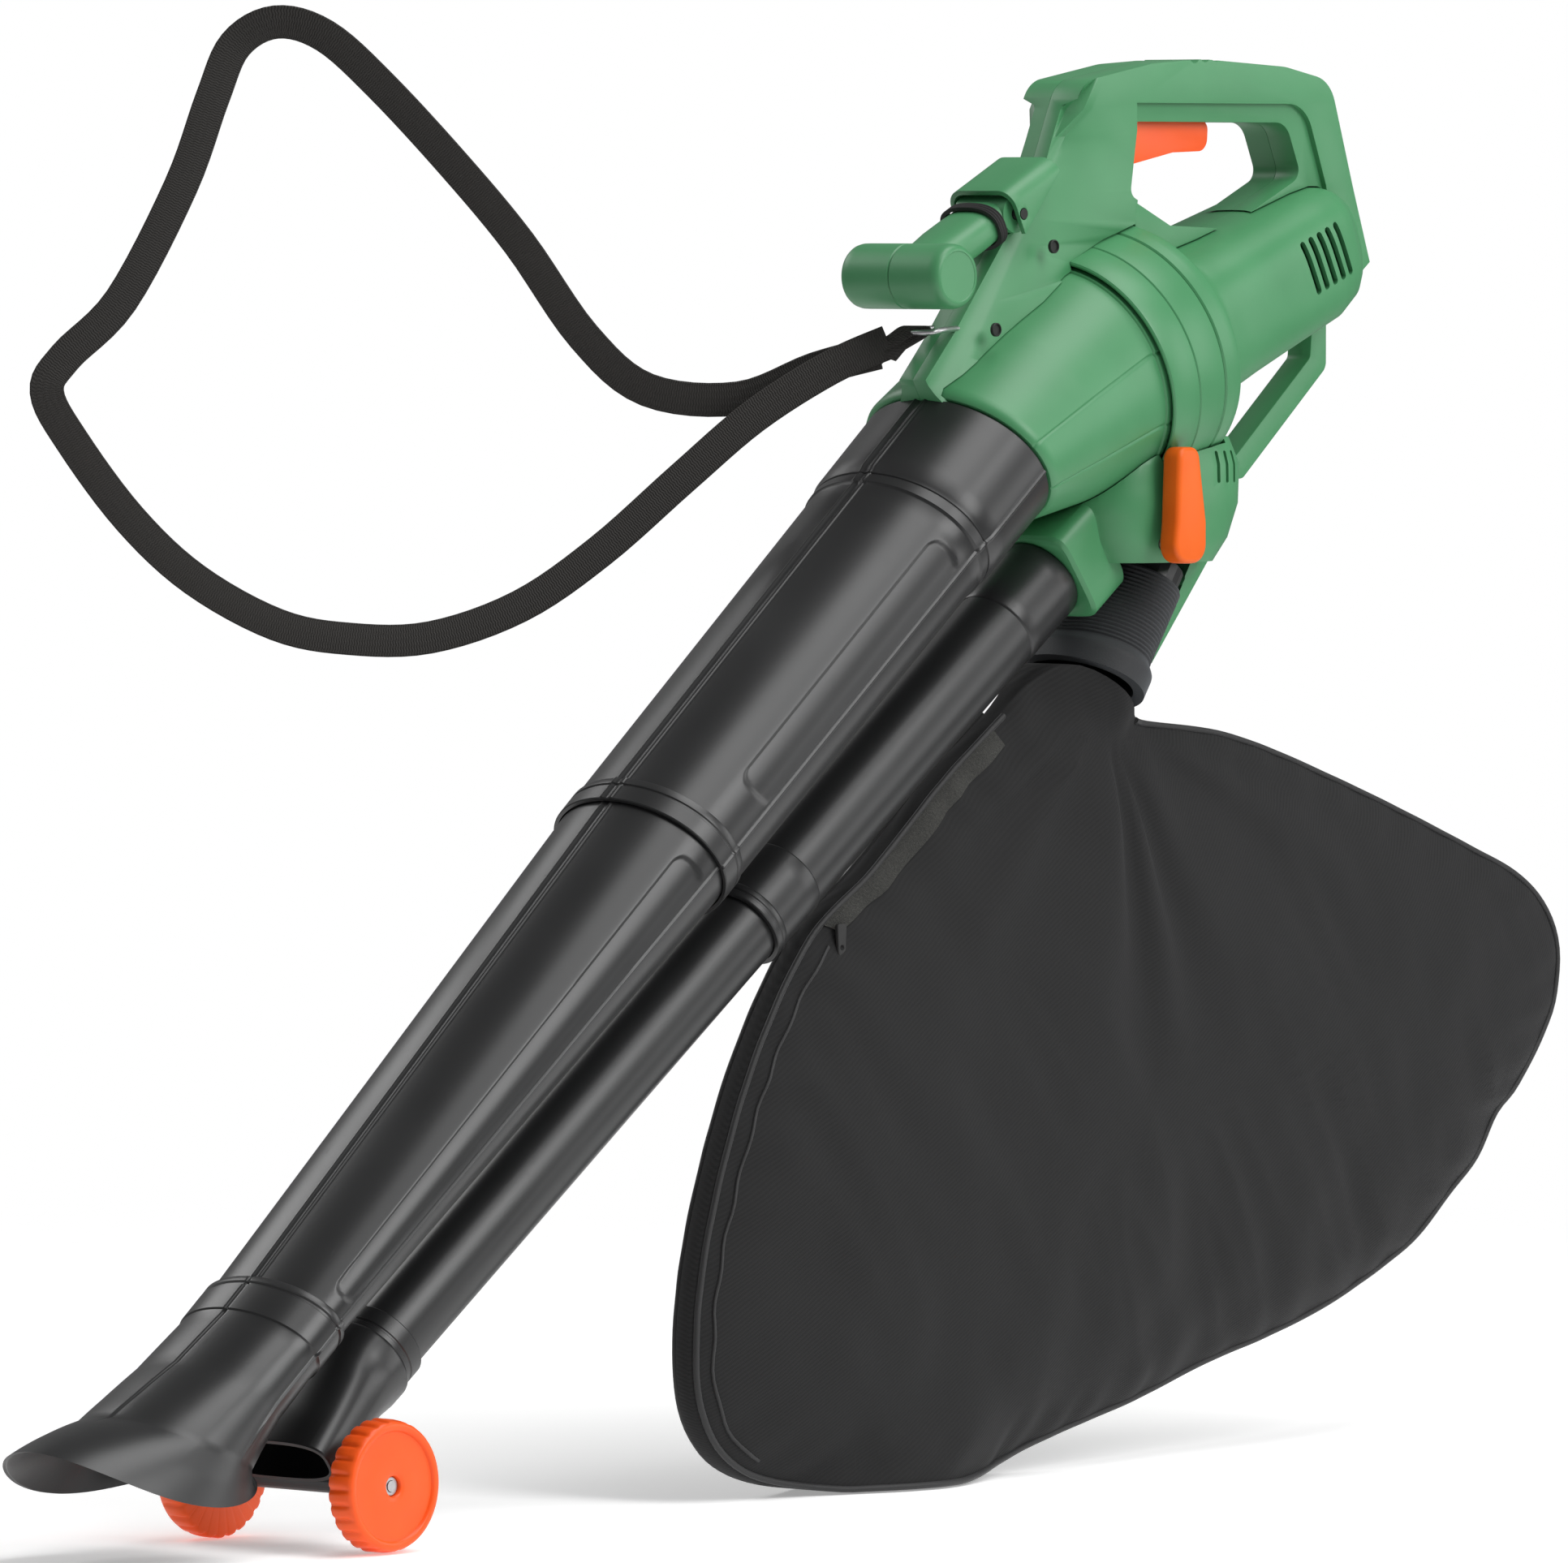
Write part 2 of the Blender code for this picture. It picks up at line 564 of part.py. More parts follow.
def plan_ring(z, front, rear, half, power=3):
    """A level section of the outlet, front and rear in x, half as wide as half says."""
    middle = (front + rear) / 2
    ring = oval(0, 0, (rear - front) / 2, half, power=power)
    return [Vector((middle * MM + point.z, point.y, z * MM)) for point in ring]


def outlet(clearances):
    body = loft("outlet_housing", [plan_ring(*level) for level in OUTLET], "green_plastic", DRAWING)
    socket = loft("blow_socket", [oval(1, 0, 30, 31, power=5), oval(60, 0, 30, 31, power=5)], None, BLOW,
                  cutter=True)
    shield_outline = [(326, 543), (346, 543), (346.5, 531), (294, 470), (289, 474), (325, 520)]
    shield = plate("outlet_shield", [shield_outline], -25, 25, None, cutter=True)
    for other in (socket, shield):
        boolean(body, other, "UNION")
    for cutter in clearances:
        boolean(body, cutter)
    cavity = loft("outlet_cavity", [plan_ring(601, 246, 350, 46), plan_ring(565, 240, 354, 51),
                  plan_ring(546, 246, 343, 49), plan_ring(520, 262, 326, 42)], None, DRAWING, cutter=True)
    boolean(body, cavity)
    bore = turned("blow_bore", [(0, 0), (25, 0), (25, 58), (0, 58)], None, BLOW, 24, cutter=True)
    boolean(body, bore)
    neck = loft("neck_clearance", [oval(1, 0, 27.6, 42), oval(54, 0, 27.6, 42), oval(54.6, 0, 32.8, 47.8),
                oval(90, 0, 32.8, 47.8)], None, SPIGOT, cutter=True)
    boolean(body, neck)
    boolean(body, rod("shaft_bore", 4.5, -70, 70, None, LEVER_PIVOT, cutter=True, steps=16))


def mode_lever():
    x, z = LEVER_PIVOT
    outline = [(x - 15, z - 12, 11), (x + 15, z - 12, 11), (x + 15, z + 12, 9), (x + 8, z + 56, 7),
               (x - 10, z + 56, 7), (x - 12, z + 12, 9)]
    plate("mode_lever", [outline], -74, -60, "orange_plastic", bevel=3)
    rod("lever_shaft", 4, -59.7, 57, "steel", LEVER_PIVOT, steps=16)
    plate("diverter_flap", [[(x - 6.5, z - 6.5, 4), (x + 6.5, z - 6.5, 4), (x + 6.5, z + 5, 2), (x + 1.5, z + 20),
          (x - 1.5, z + 20), (x - 6.5, z + 5, 2)], [(x - 4.3, z - 4.3, 4.2), (x + 4.3, z - 4.3, 4.2),
          (x + 4.3, z + 4.3, 4.2), (x - 4.3, z + 4.3, 4.2)]], -40, 40, "black_plastic")


def bag_neck():
    spigot = ((2, 24, 38), (58, 24, 38))
    shell("bag_spigot", [oval(s, 0, a, b) for s, a, b in spigot],
          [oval(s, 0, a - WALL, b - WALL) for s, a, b in spigot], "black_plastic", SPIGOT)
    cuff = ((14, 27, 41.5), (64, 27, 41.5), (66, 31, 46), (84, 31, 46))
    cuff_bore = ((14, 24.4, 38.4), (84, 24.4, 38.4))
    shell("bag_cuff", [oval(s, 0, a, b) for s, a, b in cuff],
          [oval(s, 0, a, b) for s, a, b in cuff_bore], "bag_fabric", SPIGOT)


def rear_bracket(clearances):
    outline = [(462, 685), (474, 680), (474, 643, 8), (397, 578, 6), (364.5, 576), (364.5, 590), (391, 592),
               (459, 649, 5)]
    bracket = plate("rear_bracket", [outline], -9, 9, "green_plastic", bevel=2)
    for cutter in clearances:
        boolean(bracket, cutter)


def small_parts():
    gland_frame = MOTOR @ shift(128, -41.6) @ turn(90)
    gland = [(4.2, 0), (9, 0), (9, 5), (7, 6), (6.4, 16), (4.2, 16)]
    turned("cable_gland", gland, "black_rubber", gland_frame, 20)
    for name, place, out in (("case_screw_upper", (206, 716), 24.8), ("case_screw_lower", (152, 668), 27.4)):
        rod(name, 4, -out - 2, -out, "steel", place, steps=12)


def strap_eyelet():
    loop = bpy.data.curves.new("strap_eyelet", "CURVE")
    loop.dimensions = "3D"
    loop.bevel_depth = 1.7 * MM
    loop.bevel_resolution = 2
    ring = loop.splines.new("POLY")
    corners = rounded([(-14, -5, 4), (14, -5, 4), (14, 5, 4), (-14, 5, 4)])
    ring.points.add(len(corners) - 1)
    for point, place in zip(ring.points, corners):
        point.co = (place.y * MM, place.x * MM, 0, 1)
    ring.use_cyclic_u = True
    obj = bpy.data.objects.new("strap_eyelet", loop)
    loop.materials.append(MATERIALS["steel"])
    obj.matrix_world = DRAWING @ shift(123, 668)
    PARTS.objects.link(obj)


# Soft parts ---------------------------------------------------------------------------------------
BAG_OUTLINE = ((232.5, 471.5), (196, 450), (128, 408), (66, 358), (10, 319), (-38, 250), (-72, 168), (-86, 100),
               (-80, 48), (-45, 15), (30, 0.5), (110, 0.5), (165, 7), (250, 25), (300, 36), (366, 54),
               (425, 67), (485, 84), (556, 114), (592, 141), (620, 163), (640, 190), (662, 208),
               (694, 252), (697, 296), (668, 329), (609, 354), (494, 395), (386, 427), (281, 441.5))
BAG_LAYERS = ((0.2, -1.0), (0.5, -0.92), (0.75, -0.68), (0.93, -0.3), (1.0, 0.0))
BAG_HALF = 44
BAG_EDGE = 5
BAG_BASE = (235, 275, 34)  # the filled bag spreads under load: middle, reach along x and half its width
BAG_NECK = (257.5, 457.5, 55, 35)  # where the cuff joins: middle, reach and half the extra width


def bag():
    centre = Vector(BAG_CENTRE)
    rings = []
    layers = list(BAG_LAYERS) + [(scale, -depth) for scale, depth in BAG_LAYERS[::-1]]
    for index, (scale, depth) in enumerate(layers):
        side = -1 if index < len(BAG_LAYERS) else 1
        ring = []
        for x, z in BAG_OUTLINE:
            flat = centre + (Vector((x, z)) - centre) * scale
            low = math.exp(-(((x - BAG_BASE[0]) / BAG_BASE[1]) ** 6)) if z < 100 else 0.0
            near = math.dist((flat.x, flat.y), BAG_NECK[:2]) / BAG_NECK[2]
            edge = BAG_EDGE + BAG_BASE[2] * low + BAG_NECK[3] * math.exp(-near**2)
            half = max(edge, abs(depth) * BAG_HALF + BAG_EDGE)
            ring.append(Vector((flat.x, side * half, flat.y)) * MM)
        rings.append(ring)
    loft("collection_bag", rings, "bag_fabric", DRAWING)


STRAP_ROUTE = ((121, 0, 664), (104, 20, 655), (88, 55, 645), (65, 94, 628), (28, 132, 633), (3, 159, 664),
               (-24, 185, 718), (-52, 210, 763), (-82, 240, 809), (-105, 263, 838), (-122, 286, 846),
               (-134, 307, 833), (-144, 316, 802), (-158, 328, 751), (-183, 352, 685), (-206, 375, 652),
               (-214, 382, 632), (-201, 374, 603), (-178, 350, 558), (-154, 321, 523), (-125, 283, 497),
               (-101, 248, 489), (-73, 210, 490), (-40, 170, 508), (-8, 136, 540), (25, 102, 582),
               (53, 71, 618), (82, 38, 646), (106, 14, 661), (121, 0, 670))
STRAP_WIDTH = 20
STRAP_THICK = 1.6


def smooth_route(points, steps):
    """Points along a Catmull-Rom curve through the route."""
    points = [Vector(point) for point in points]
    route = []
    for i in range(len(points) - 1):
        before = points[max(i - 1, 0)]
        after = points[min(i + 2, len(points) - 1)]
        start, end = points[i], points[i + 1]
        for step in range(steps):
            t = step / steps
            bend = (2 * before - 5 * start + 4 * end - after) * t**2
            twist = (-before + 3 * start - 3 * end + after) * t**3
            route.append(0.5 * (2 * start + (end - before) * t + bend + twist))
    route.append(points[-1])
    return route


def strap():
    route = smooth_route(STRAP_ROUTE[1:-1], 2)
    rings = []
    for i, point in enumerate(route):
        along = (route[min(i + 1, len(route) - 1)] - route[max(i - 1, 0)]).normalized()
        wide = Vector((0.5, 0.6, 0.62)).cross(along).cross(along).normalized() * STRAP_WIDTH / 2
        thick = along.cross(wide).normalized() * STRAP_THICK / 2
        rings.append([(point + wide * u + thick * v) * MM for u, v in ((1, 1), (1, -1), (-1, -1), (-1, 1))])
    loft("shoulder_strap", rings, "strap_webbing", DRAWING)


suction_tubes()
suction_nozzle()
blow_tubes()
blow_nozzle()
wheels()
fan_case()
impeller()
motor_internals()
motor_housing()
trimmers = case_clearance()
handle(trimmers)
trigger()
front_grip()
hood(trimmers)
outlet(trimmers)
mode_lever()
bag_neck()
rear_bracket(trimmers)
small_parts()
strap_eyelet()
bag()
strap()
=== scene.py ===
"""Electric leaf vacuum mulcher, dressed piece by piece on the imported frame.

Places come from the same side drawing as the frame, in millimetres: x runs rearward, z up and y to the
machine's right.
"""

import math

import bmesh
import bpy
from mathutils import Matrix, Vector, noise


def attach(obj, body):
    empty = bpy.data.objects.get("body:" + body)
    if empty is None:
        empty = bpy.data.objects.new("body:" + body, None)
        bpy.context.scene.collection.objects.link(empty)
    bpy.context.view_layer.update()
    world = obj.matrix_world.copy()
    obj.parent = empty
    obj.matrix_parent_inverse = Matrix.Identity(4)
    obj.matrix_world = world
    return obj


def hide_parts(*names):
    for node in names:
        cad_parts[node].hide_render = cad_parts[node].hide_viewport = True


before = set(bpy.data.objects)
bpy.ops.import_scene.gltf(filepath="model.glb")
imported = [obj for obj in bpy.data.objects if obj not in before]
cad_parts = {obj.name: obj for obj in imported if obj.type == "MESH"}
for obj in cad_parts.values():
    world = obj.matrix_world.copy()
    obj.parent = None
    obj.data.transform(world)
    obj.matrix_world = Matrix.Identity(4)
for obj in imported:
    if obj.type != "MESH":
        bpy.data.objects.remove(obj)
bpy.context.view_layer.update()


# Studio -------------------------------------------------------------------------------------------
# A white studio with soft boxes above the machine. The white seen behind it is brighter than the light it
# gives, so that the machine keeps its shading. A long lens looks almost level from the machine's front left,
# so the tubes run down to the left and the bag hangs on the right.
MM = 0.001
DATUM = Vector((-43.7, 0, 0)) * MM
LENS_DISTANCE = 8.0
VIEW_TURN = math.radians(48)
VIEW_RISE = math.radians(2.4)
AIM = DATUM + Vector((0, 0, 0.4101))
VIEW = Vector((math.sin(VIEW_TURN) * math.cos(VIEW_RISE), math.cos(VIEW_TURN) * math.cos(VIEW_RISE),
               -math.sin(VIEW_RISE)))

camera = bpy.data.objects.new("studio_camera", bpy.data.cameras.new("studio_camera"))
bpy.context.scene.collection.objects.link(camera)
camera.location = AIM - VIEW * LENS_DISTANCE
camera.rotation_euler = VIEW.to_track_quat("-Z", "Y").to_euler()
camera.data.lens = 320.5
camera.data.sensor_width = 36
camera.data.clip_end = 100
bpy.context.scene.camera = camera
bpy.context.scene.view_settings.view_transform = "Standard"


def soft_box(name, place, width, height, power):
    light = bpy.data.lights.new(name, "AREA")
    light.shape = "RECTANGLE"
    light.size = width
    light.size_y = height
    light.energy = power
    lamp = bpy.data.objects.new(name, light)
    lamp.location = place
    lamp.rotation_euler = (AIM - Vector(place)).to_track_quat("-Z", "Y").to_euler()
    bpy.context.scene.collection.objects.link(lamp)


soft_box("key_box", (0.2, -3.7, 2.9), 1.8, 2.4, 105)
soft_box("top_box", (0.4, -0.9, 3.4), 2.6, 1.6, 60)
soft_box("fill_box", (2.8, -2.6, 1.4), 1.6, 2.2, 34)
soft_box("back_box", (-0.6, 3.2, 2.6), 2.8, 1.4, 40)

studio_world = bpy.data.worlds.new("studio_world")
studio_world.use_nodes = True
backdrop = studio_world.node_tree.nodes["Background"]
backdrop.inputs["Color"].default_value = (1, 1, 1, 1)
SEEN_WHITE = 1.0
LIT_BY = 0.2
sight = studio_world.node_tree.nodes.new("ShaderNodeLightPath")
level = studio_world.node_tree.nodes.new("ShaderNodeMapRange")
level.inputs["To Min"].default_value = LIT_BY
level.inputs["To Max"].default_value = SEEN_WHITE
studio_world.node_tree.links.new(sight.outputs["Is Camera Ray"], level.inputs["Value"])
studio_world.node_tree.links.new(level.outputs["Result"], backdrop.inputs["Strength"])
bpy.context.scene.world = studio_world


# Shoulder strap -----------------------------------------------------------------------------------
# One length of woven polyester webbing. Both its ends are sewn round the steel ring at the foot of the
# handle, and it stands away on the machine's right in one open loop.
class Line:
    """A socket of a finish. Arithmetic on it adds Math nodes."""

    def __init__(self, finish, socket):
        self.finish = finish
        self.socket = socket

    def math(self, operation, *others, swap=False):
        values = (others[0], self) if swap else (self, *others)
        node = self.finish.add("ShaderNodeMath", {"operation": operation}, dict(enumerate(values)))
        return node.out(0)

    def __add__(self, other):
        return self.math("ADD", other)

    def __radd__(self, other):
        return self.math("ADD", other, swap=True)

    def __sub__(self, other):
        return self.math("SUBTRACT", other)

    def __rsub__(self, other):
        return self.math("SUBTRACT", other, swap=True)

    def __mul__(self, other):
        return self.math("MULTIPLY", other)

    def __rmul__(self, other):
        return self.math("MULTIPLY", other, swap=True)

    def __truediv__(self, other):
        return self.math("DIVIDE", other)

    def __rtruediv__(self, other):
        return self.math("DIVIDE", other, swap=True)

    def __pow__(self, other):
        return self.math("POWER", other)

    def sine(self):
        return self.math("SINE")

    def size(self):
        return self.math("ABSOLUTE")

    def above(self, low, high):
        """0 below low, 1 above high, smooth between."""
        settings = {"interpolation_type": "SMOOTHSTEP"}
        return self.finish.add("ShaderNodeMapRange", settings, {0: self, 1: low, 2: high}).out(0)


class Node:
    def __init__(self, finish, node):
        self.finish = finish
        self.node = node

    def out(self, key):
        return Line(self.finish, self.node.outputs[key])


class Finish:
    """One material: a Principled shader and the nodes that feed it."""

    def __init__(self, name, roughness=0.5, metallic=0.0):
        self.material = bpy.data.materials.new(name)
        self.material.use_nodes = True
        self.tree = self.material.node_tree
        self.shader = self.tree.nodes["Principled BSDF"]
        self.shader.inputs["Roughness"].default_value = roughness
        self.shader.inputs["Metallic"].default_value = metallic

    def feed(self, socket, value):
        if isinstance(value, Line):
            self.tree.links.new(value.socket, socket)
        elif isinstance(value, tuple) and len(value) == 3 and socket.type == "RGBA":
            socket.default_value = (*value, 1)
        else:
            socket.default_value = value

    def add(self, kind, settings, sockets):
        node = self.tree.nodes.new(kind)
        for key, value in settings.items():
            setattr(node, key, value)
        for key, value in sockets.items():
            self.feed(node.inputs[key], value)
        return Node(self, node)

    def place(self):
        """x, y and z in millimetres."""
        point = self.add("ShaderNodeNewGeometry", {}, {}).out("Position")
        split = self.add("ShaderNodeSeparateXYZ", {}, {0: point})
        return [split.out(i) * 1000 for i in range(3)]

    def sewn(self):
        """u and v of the mesh's own map, in millimetres."""
        point = self.add("ShaderNodeTexCoord", {}, {}).out("UV")
        split = self.add("ShaderNodeSeparateXYZ", {}, {0: point})
        return split.out(0), split.out(1)

    def noise(self, size, detail=2.0, roughness=0.5, stretch=(1, 1, 1)):
        """Soft noise whose features are about size millimetres across."""
        point = self.add("ShaderNodeTexCoord", {}, {}).out("Object")
        point = self.add("ShaderNodeVectorMath", {"operation": "MULTIPLY"}, {0: point, 1: stretch}).out(0)
        sockets = {"Vector": point, "Scale": 1000 / size, "Detail": detail, "Roughness": roughness}
        return self.add("ShaderNodeTexNoise", {}, sockets).out("Fac")

    def mix(self, share, first, second):
        settings = {"data_type": "RGBA"}
        return self.add("ShaderNodeMix", settings, {0: share, 6: first, 7: second}).out(2)

    def set(self, **inputs):
        for key, value in inputs.items():
            self.feed(self.shader.inputs[key.replace("_", " ").title()], value)

    def bump(self, height, depth, strength=1.0):
        """Raises the surface by depth millimetres where height is 1."""
        sockets = {"Height": height, "Distance": depth * MM, "Strength": strength}
        self.feed(self.shader.inputs["Normal"], self.add("ShaderNodeBump", {}, sockets).out(0))

    def sheen(self, weight, roughness, tint):
        self.shader.inputs["Sheen Weight"].default_value = weight
        self.shader.inputs["Sheen Roughness"].default_value = roughness
        self.shader.inputs["Sheen Tint"].default_value = (*tint, 1)


def smooth_route(points, steps):
    """Points along a Catmull-Rom curve through the route."""
    points = [Vector(point) for point in points]
    route = []
    for i in range(len(points) - 1):
        before = points[max(i - 1, 0)]
        after = points[min(i + 2, len(points) - 1)]
        start, end = points[i], points[i + 1]
        for step in range(steps):
            t = step / steps
            bend = (2 * before - 5 * start + 4 * end - after) * t**2
            twist = (-before + 3 * start - 3 * end + after) * t**3
            route.append(0.5 * (2 * start + (end - before) * t + bend + twist))
    route.append(points[-1])
    return route


def show(name, mesh, finish, body="frame", nodes=(), sharp=32):
    """Puts a finished mesh on its body, in place of the frame's own nodes."""
    obj = bpy.data.objects.new(name, mesh)
    bpy.context.scene.collection.objects.link(obj)
    mesh.materials.clear()
    mesh.materials.append(finish.material)
    mesh.shade_smooth()
    mesh.set_sharp_from_angle(angle=math.radians(sharp))
    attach(obj, body)
    if nodes:
        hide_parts(*nodes)
    return obj


def skin(rings, closed_rings=True, closed_length=False, caps=True, uv=None):
    """A mesh through rings of equal point counts. uv gives each ring point its map place, in millimetres."""
    bm = bmesh.new()
    loops = [[bm.verts.new(point) for point in ring] for ring in rings]
    count = len(rings[0])
    layer = bm.loops.layers.uv.new("map") if uv else None
    pairs = list(zip(range(len(loops) - 1), range(1, len(loops))))
    if closed_length:
        pairs.append((len(loops) - 1, 0))
    for a, b in pairs:
        for i in range(count if closed_rings else count - 1):
            j = (i + 1) % count
            face = bm.faces.new((loops[a][i], loops[a][j], loops[b][j], loops[b][i]))
            if uv:
                spots = (uv(a, i), uv(a, i + 1), uv(a + 1, i + 1), uv(a + 1, i))
                for corner, spot in zip(face.loops, spots):
                    corner[layer].uv = spot
    if caps and not closed_length:
        bm.faces.new(loops[0])
        bm.faces.new(loops[-1])
    return sealed(bm)


def sealed(bm):
    bmesh.ops.recalc_face_normals(bm, faces=bm.faces)
    mesh = bpy.data.meshes.new("shape")
    bm.to_mesh(mesh)
    bm.free()
    return mesh


STRAP_WIDTH = 20
STRAP_THICK = 1.6
STRAP_ROUTE = ((104, 20, 655), (88, 55, 645), (65, 94, 628), (28, 132, 633), (3, 159, 664),
               (-24, 185, 718), (-52, 210, 763), (-82, 240, 809), (-105, 263, 838), (-122, 286, 846),
               (-134, 307, 833), (-144, 316, 802), (-158, 328, 751), (-183, 352, 685), (-206, 375, 652),
               (-214, 382, 632), (-201, 374, 603), (-178, 350, 558), (-154, 321, 523), (-125, 283, 497),
               (-101, 248, 489), (-73, 210, 490), (-40, 170, 508), (-8, 136, 540), (25, 102, 582),
               (53, 71, 618), (82, 38, 646), (106, 14, 661))

webbing = Finish("strap_webbing", roughness=0.8)
across, along = webbing.sewn()
ribs = (along * 4.2 + (across * 1.6).sine() * 0.9).sine() * 0.5 + 0.5
edge_cord = ((across - STRAP_WIDTH / 2).size() - 8.6).above(0, 0.5)
fuzz = webbing.noise(0.9, detail=3)
shade = webbing.mix(ribs * 0.5 + fuzz * 0.5, (0.011, 0.010, 0.009), (0.034, 0.031, 0.028))
webbing.set(base_color=webbing.mix(edge_cord * 0.6, shade, (0.02, 0.018, 0.016)))
webbing.set(roughness=0.7 + fuzz * 0.2)
webbing.bump(ribs + edge_cord * 0.8 + fuzz * 0.3, 0.35)
webbing.sheen(0.25, 0.4, (0.6, 0.55, 0.5))

strap_line = smooth_route(STRAP_ROUTE, 6)
reach = [0.0]
for first, second in zip(strap_line, strap_line[1:]):
    reach.append(reach[-1] + (second - first).length)
strap_rings = []
edge_steps = ((-1, 0), (-0.96, 0.7), (-0.85, 1), (0, 1), (0.85, 1), (0.96, 0.7), (1, 0), (0.96, -0.7),
              (0.85, -1), (0, -1), (-0.85, -1), (-0.96, -0.7))
for i, point in enumerate(strap_line):
    heading = (strap_line[min(i + 1, len(strap_line) - 1)] - strap_line[max(i - 1, 0)]).normalized()
    lean = VIEW + Vector((0, 0, 0.35)) * math.sin(reach[i] / reach[-1] * 2 * math.pi)
    wide = heading.cross(lean).normalized() * STRAP_WIDTH / 2
    thick = wide.cross(heading).normalized() * STRAP_THICK / 2
    strap_rings.append([DATUM + (point + wide * u + thick * v) * MM for u, v in edge_steps])
strap_mesh = skin(strap_rings, uv=lambda a, i: ((edge_steps[i % 12][0] + 1) * STRAP_WIDTH / 2,
                                                reach[min(a, len(reach) - 1)]))
strap = show("strap_band", strap_mesh, webbing, nodes=["shoulder_strap"], sharp=70)
strap_path = [tuple(DATUM + point * MM) for point in strap_line]

END_FOLD = ((98, 27, 652), (104, 18, 658), (109, 9, 664), (113, 3, 669), (116, 0, 669), (115, 1, 665),
            (110, 7, 660), (103, 17, 653))
fold_line = smooth_route(END_FOLD, 5)
fold_rings = []
for i, point in enumerate(fold_line):
    heading = (fold_line[min(i + 1, len(fold_line) - 1)] - fold_line[max(i - 1, 0)]).normalized()
    turned_flat = max(0.0, min(1.0, (point.x - 98) / 9))
    wide = Vector((0.70, -0.24, -0.67)).lerp(Vector((0.3, -0.95, 0)), turned_flat).normalized()
    wide *= STRAP_WIDTH * (0.52 - 0.12 * turned_flat)
    thick = wide.cross(heading).normalized() * STRAP_THICK * 0.6
    fold_rings.append([DATUM + (point + wide * u + thick * v) * MM for u, v in edge_steps])
fold_mesh = skin(fold_rings, uv=lambda a, i: ((edge_steps[i % 12][0] + 1) * STRAP_WIDTH / 2, a * 2))
show("strap_end_fold", fold_mesh, webbing, sharp=70)


# Suction tubes ------------------------------------------------------------------------------------
# Two oval pipes blow-moulded in satin black polypropylene. The lower one tapers and pushes into the upper
# one, which ends in a grooved collar. A double rib runs along the top and one rib along each side, over a
# long sunk panel.
def drawn(x, z, pitch=0.0):
    """A working frame at a place of the side drawing, its x axis raised by pitch degrees."""
    place = DATUM + Vector((x, 0, z)) * MM
    turned = Matrix.Rotation(math.radians(-pitch), 4, "Y")
    return Matrix.Translation(place) @ turned @ Matrix.Scale(MM, 4)


TUBE_PITCH = 39
TUBE = drawn(150.5, 591, TUBE_PITCH)
SIDE = drawn(0, 0)

black_shell = Finish("satin_black_plastic", roughness=0.3)
grain = black_shell.noise(0.7, detail=2)
drift = black_shell.noise(60, detail=3, stretch=(0.5, 1, 0.7))
scuffs = black_shell.noise(5, detail=6, roughness=0.7).above(0.62, 0.74)
black_shell.set(base_color=black_shell.mix(drift, (0.010, 0.010, 0.0105), (0.020, 0.0205, 0.021)))
black_shell.set(roughness=0.24 + drift * 0.12 + grain * 0.08 + scuffs * 0.1)
black_shell.bump(grain + scuffs * 0.5, 0.02)


def oval(working, along, across, a, b, tilt=0, sag=0, power=2, angles=range(0, 360, 4), relief=None):
    """One section of a tube in a working frame: a is half its height, b half its width."""
    lean = math.radians(tilt)
    ring = []
    for angle in angles:
        turn = math.radians(angle)
        up = math.copysign(abs(math.cos(turn)) ** (2 / power), math.cos(turn))
        side = math.copysign(abs(math.sin(turn)) ** (2 / power), math.sin(turn))
        high, wide = a * up, b * side
        if relief:
            out = Vector((math.cos(turn) / a, math.sin(turn) / b)).normalized() * relief(along, angle)
            high += out.x
            wide += out.y
        drop = sag * math.sin(turn) ** 2
        ring.append(working @ Vector((
            along - high * math.sin(lean) - drop * math.sin(math.radians(TUBE_PITCH)),
            wide,
            across + high * math.cos(lean) - drop * math.cos(math.radians(TUBE_PITCH)))))
    return ring


def ridge(offset, half):
    return max(0.0, 1 - (offset / half) ** 2) ** 2


def ease(value, low, high):
    share = min(1.0, max(0.0, (value - low) / (high - low)))
    return share * share * (3 - 2 * share)


def fine_angles(*windows):
    """Degrees round a tube, close together where a rib or a panel edge needs it."""
    angles = set(range(-180, 180, 4))
    for low, high in windows:
        steps = int((high - low) / 0.7)
        angles |= {round(low + 0.7 * i, 2) for i in range(steps + 1)}
    return sorted(angles)


TUBE_ANGLES = fine_angles((-6.5, 6.5), (60, 66), (91, 100), (-66, -60), (-100, -91))
RIB_ANGLE = 95.5
PANEL_ANGLES = (63, 91)


def tube_relief(panel_start, panel_end, seam=0.9):
    def relief(along, angle):
        rise = seam * (ridge(angle - 3.2, 1.7) + ridge(angle + 3.2, 1.7) - 0.4 * ridge(angle, 1.6))
        rise += 1.2 * ridge(abs(angle) - RIB_ANGLE, 2.2)
        middle = sum(PANEL_ANGLES) / 2
        half = (PANEL_ANGLES[1] - PANEL_ANGLES[0]) / 2
        beyond = max(along - panel_start, panel_end - along) + 9
        off = max(0.0, abs(abs(angle) - middle) - half + 9)
        edge = math.hypot(max(0.0, beyond), off) - 9
        return rise - 0.9 * ease(-edge, -0.9, 0.9)

    return relief


def stations(keys, dense=()):
    """Fills the list of (along, a, b) keys with sections between them, closer near the dense places."""
    places = []
    for (s0, a0, b0), (s1, a1, b1) in zip(keys, keys[1:]):
        places.append((s0, a0, b0))
        along = s0
        while True:
            near = any(abs(along - spot) < 12 for spot in dense)
            along -= 1.6 if near else 10
            if along <= s1 + 0.8:
                break
            share = (along - s0) / (s1 - s0)
            places.append((along, a0 + (a1 - a0) * share, b0 + (b1 - b0) * share))
    places.append(keys[-1])
    return places


